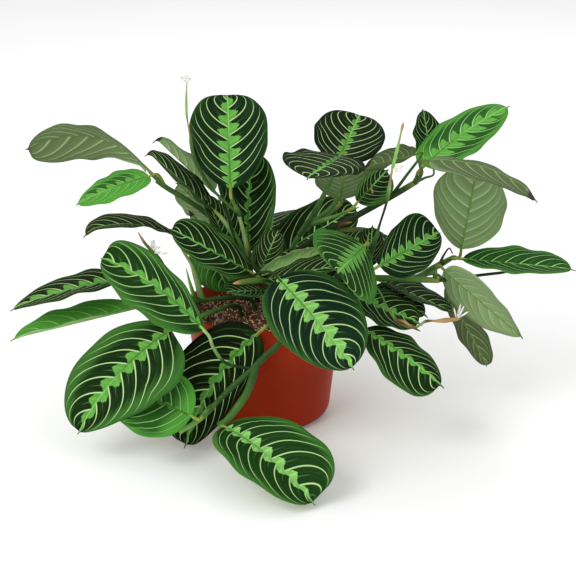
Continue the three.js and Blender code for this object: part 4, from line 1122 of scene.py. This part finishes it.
# Young growth and dead ends: rolled new leaves that stand up from the soil or out of a sheath, spent
# stalks, and dried brown sheaths. Each grows from the stem or the soil under it.
GROWTH = [
    # New leaf, still rolled up, at the left edge of the soil
    ([(-69, -3, 104), (-70, -5, 115), (-71, -7, 126), (-75, -8, 142), (-78.5, -9, 159)],
     [(0, 1.6, SHEATH_PALE), (0.3, 2.4, STALK_GREEN), (0.6, 2, BRACT_GREEN), (0.85, 1, BRACT_GREEN),
      (1, 0.3, STALK_GREEN)]),
    # New leaf that lies out of the crown to the left, with a dried tip
    ([(6, -40, 156), (-4, -48, 160), (-18, -52, 160), (-30, -52, 158)],
     [(0, 2.4, STEM_GREEN), (0.4, 3.2, STALK_GREEN), (0.8, 2.8, OLIVE_GREEN), (0.93, 1.4, DRIED_TAN),
      (1, 0.4, DRIED_TAN)]),
    # Slim leaf seen edge-on above the right front leaf
    ([(66, 11, 193), (80, 10, 193), (97, 10, 194), (120, 10, 190)],
     [(0, 1.6, STEM_GREEN), (0.35, 2.4, OLIVE_GREEN), (0.75, 1.8, OLIVE_GREEN), (1, 0.3, OLIVE_GREEN)]),
    # Thin shoot tip beside the right front leaf
    ([(99, -30, 178), (102, -24, 187), (104, -20, 201)],
     [(0, 1.6, STALK_GREEN), (0.6, 1.3, SHEATH_GREEN), (1, 0.3, SHEATH_GREEN)]),
    # Spent leaf stalk that sticks out on the right
    ([(174, -29, 153), (190, -22, 152), (216, -14, 153), (245, -10, 155)],
     [(0, 2, STEM_GREEN), (0.3, 1.6, STEM_DARK), (0.9, 1.5, STEM_DARK), (1, 0.8, STEM_DARK)]),
    # Withered sheath that is hooked over below the tall right leaf
    ([(176, -8, 162), (181, -3, 171), (186.5, 0, 177), (190, 0, 171)],
     [(0, 1.6, STEM_GREEN), (0.5, 1.1, DRIED_BROWN), (1, 0.6, DRIED_BROWN)]),
    # Dried sheaths on the lowest flower stalk, on the upper stem and on the leaf behind it
    ([(128, -90, 135), (134, -91, 134), (142, -92, 129), (151, -92, 124)],
     [(0, 1.2, DRIED_BROWN), (0.4, 1.4, DRIED_TAN), (0.8, 1.1, DRIED_BROWN), (1, 0.4, DRIED_BROWN)]),
    ([(74, 8, 197), (79, 5, 201), (88, 5, 203)],
     [(0, 1.6, DRIED_BROWN), (0.6, 1.9, DRIED_BROWN), (1, 0.5, DRIED_TAN)]),
    ([(109, -5, 228), (108, -6, 235), (106, -6, 243)],
     [(0, 0.9, DRIED_PINK), (0.5, 1.3, DRIED_PINK), (1, 0.4, DRIED_TAN)]),
    # Old sheaths that wrap the crowded feet of the shoots
    ([(12, 12, 118), (0, 2, 152), (-20, 2, 168)],
     [(0, 3, STEM_DARK), (0.6, 3.2, STEM_DARK), (1, 1, STEM_GREEN)]),
    ([(14, 10, 122), (-2, 6, 150), (-16, 8, 172)],
     [(0, 3, STEM_DARK), (0.6, 3.4, STEM_DARK), (1, 1.2, STEM_GREEN)]),
    ([(18, 2, 118), (2, -2, 146), (-10, -5, 160), (-11, -5, 178)],
     [(0, 3, STEM_DARK), (0.6, 3.6, STEM_DARK), (1, 0.8, STEM_GREEN)]),
]

strands = Strands()
for route, look in GROWTH:
    strands.add(route, look)
new_piece("young_growth", stem_rule.run(strands.mesh("growth"), Sides=STEM_SIDES), "green_stem")


# Blooms: small white flowers of a few thin petals, soon over, that open from the side of their stalk.
# Each petal is where it starts, which way it points, its length, its width and how far it curls.
PETAL_THICKNESS, PETAL_CUP, PETAL_RUFFLE = 0.35, 0.18, 0.12
PETAL_ROWS, PETAL_LANES = 12, 6
PETAL_WHITE, PETAL_SHADE = shade("#f1efe9"), shade("#c9c6c4")
BLOOMS = {
    "bloom_1": [
        ((-75, 20, 343), (-0.75, -0.2, 0.6), 8.5, 3.4, 2), ((-75, 20, 343), (0.6, -0.3, 0.65), 7, 3.2, 2),
        ((-75, 20, 343), (0, 0.3, 1), 9, 3, -1), ((-75, 20, 343), (-0.4, 0.6, 0.5), 6.5, 2.6, 1)],
    "bloom_2": [
        ((124, -51, 272), (0.85, -0.1, 0.5), 11, 3.4, 1.5), ((124, -51, 272), (0.95, -0.4, 0.1), 9, 3, -1),
        ((124, -51, 272), (0.5, 0, 0.9), 8, 2.8, 1), ((124, -51, 272), (1, 0.3, 0.2), 7, 2.4, 1)],
    "bloom_3": [
        ((-109, -36, 187), (0.1, -0.2, 1), 12, 5, 0.5), ((-109, -36, 187), (0.9, 0, 0.45), 9, 3.4, 1),
        ((-108, -36, 185), (1, -0.2, 0), 15, 3.6, 2)],
    "bloom_4": [
        ((191, -52, 122), (0.15, 0, 1), 16, 2.2, 2), ((191, -52, 122), (0.45, -0.2, 0.9), 14, 2, -2),
        ((190, -52, 122), (-0.3, 0, 1), 12, 1.8, 2), ((192, -52, 122), (0.8, 0, 0.6), 12, 2, 1.5)],
}


def petal(start, heading, length, width, curl):
    """Points of one thin closed petal, its upper side first."""
    along = unit(np.array(heading, float))
    across = unit(np.cross(along, (0.25, -1, 0.2)))
    up = np.cross(across, along)
    u, v = np.meshgrid(np.linspace(0, 1, PETAL_ROWS), np.linspace(-1, 1, PETAL_LANES), indexing="ij")
    half = 0.5 * width * np.sin(np.pi * (0.12 + 0.8 * u)) ** 0.8
    cup, ruffle = PETAL_CUP * v * v * (1 - u), PETAL_RUFFLE * np.sin(9 * u + 3 * v)
    height = curl * u ** 2 + width * (cup + ruffle)
    middle = (np.array(start) + along * (length * u)[..., None] + across * (half * v)[..., None]
              + up * height[..., None])
    thick = (0.5 * PETAL_THICKNESS * (1 - 0.5 * v ** 4))[..., None] * up
    return np.concatenate([(middle + thick).reshape(-1, 3), (middle - thick).reshape(-1, 3)])


def petal_white():
    """Thin white petal with faint grey clouds."""
    f = Finish("petal", specular_ior_level=0.2, roughness=0.6)
    cloud = f.noise(f.place(), 350.0, 3)
    return f.wear(base_color=f.mix(cloud.rise(0.35, 0.7), PETAL_WHITE, PETAL_SHADE))


bloom_finish = petal_white()
petal_faces = np.concatenate(sheet_faces(PETAL_ROWS, PETAL_LANES, other_way=True))
for name, petals in BLOOMS.items():
    points, faces = [], []
    for each in petals:
        faces += (petal_faces + len(points)).tolist()
        points += petal(*each).tolist()
    new_piece(name + "_petals", mesh_of(name, points, faces, bloom_finish), "petal", name)


# Stage: a plain pale floor and soft studio light, with the brighter side at the front left.
FLOOR_SIZE, FLOOR_PALE = 12, (0.93, 0.93, 0.93)
STUDIO_WHITE, STUDIO_LIGHT = (1, 1, 1, 1), 0.82
LAMP_AIM = (0, 0, 0.15)
# Each lamp's place and size in metres, and its power in watts
LAMPS = [
    ("key", (-1.6, -1.7, 2.0), 1.6, 44),
    ("fill", (1.8, -1.6, 1.3), 1.8, 10),
    ("back", (0.4, 1.8, 2.0), 1.6, 12),
]

f = Finish("floor", roughness=0.7, specular_ior_level=0.2)
half = 0.5 * FLOOR_SIZE / MM
corners = [(-half, -half, 0), (half, -half, 0), (half, half, 0), (-half, half, 0)]
pale = f.wear(base_color=FLOOR_PALE)
floor = bpy.data.objects.new("floor", mesh_of("floor", corners, [(0, 1, 2, 3)], pale))
bpy.context.scene.collection.objects.link(floor)

world = bpy.data.worlds.new("studio")
bpy.context.scene.world = world
world.use_nodes = True
studio = world.node_tree.nodes["Background"].inputs
studio["Color"].default_value = STUDIO_WHITE
studio["Strength"].default_value = STUDIO_LIGHT

for name, place, size, power in LAMPS:
    lamp = bpy.data.objects.new(name, bpy.data.lights.new(name, "AREA"))
    bpy.context.scene.collection.objects.link(lamp)
    lamp.data.size = size
    lamp.data.energy = power
    lamp.location = place
    lamp.rotation_euler = (Vector(LAMP_AIM) - lamp.location).to_track_quat("-Z", "Y").to_euler()
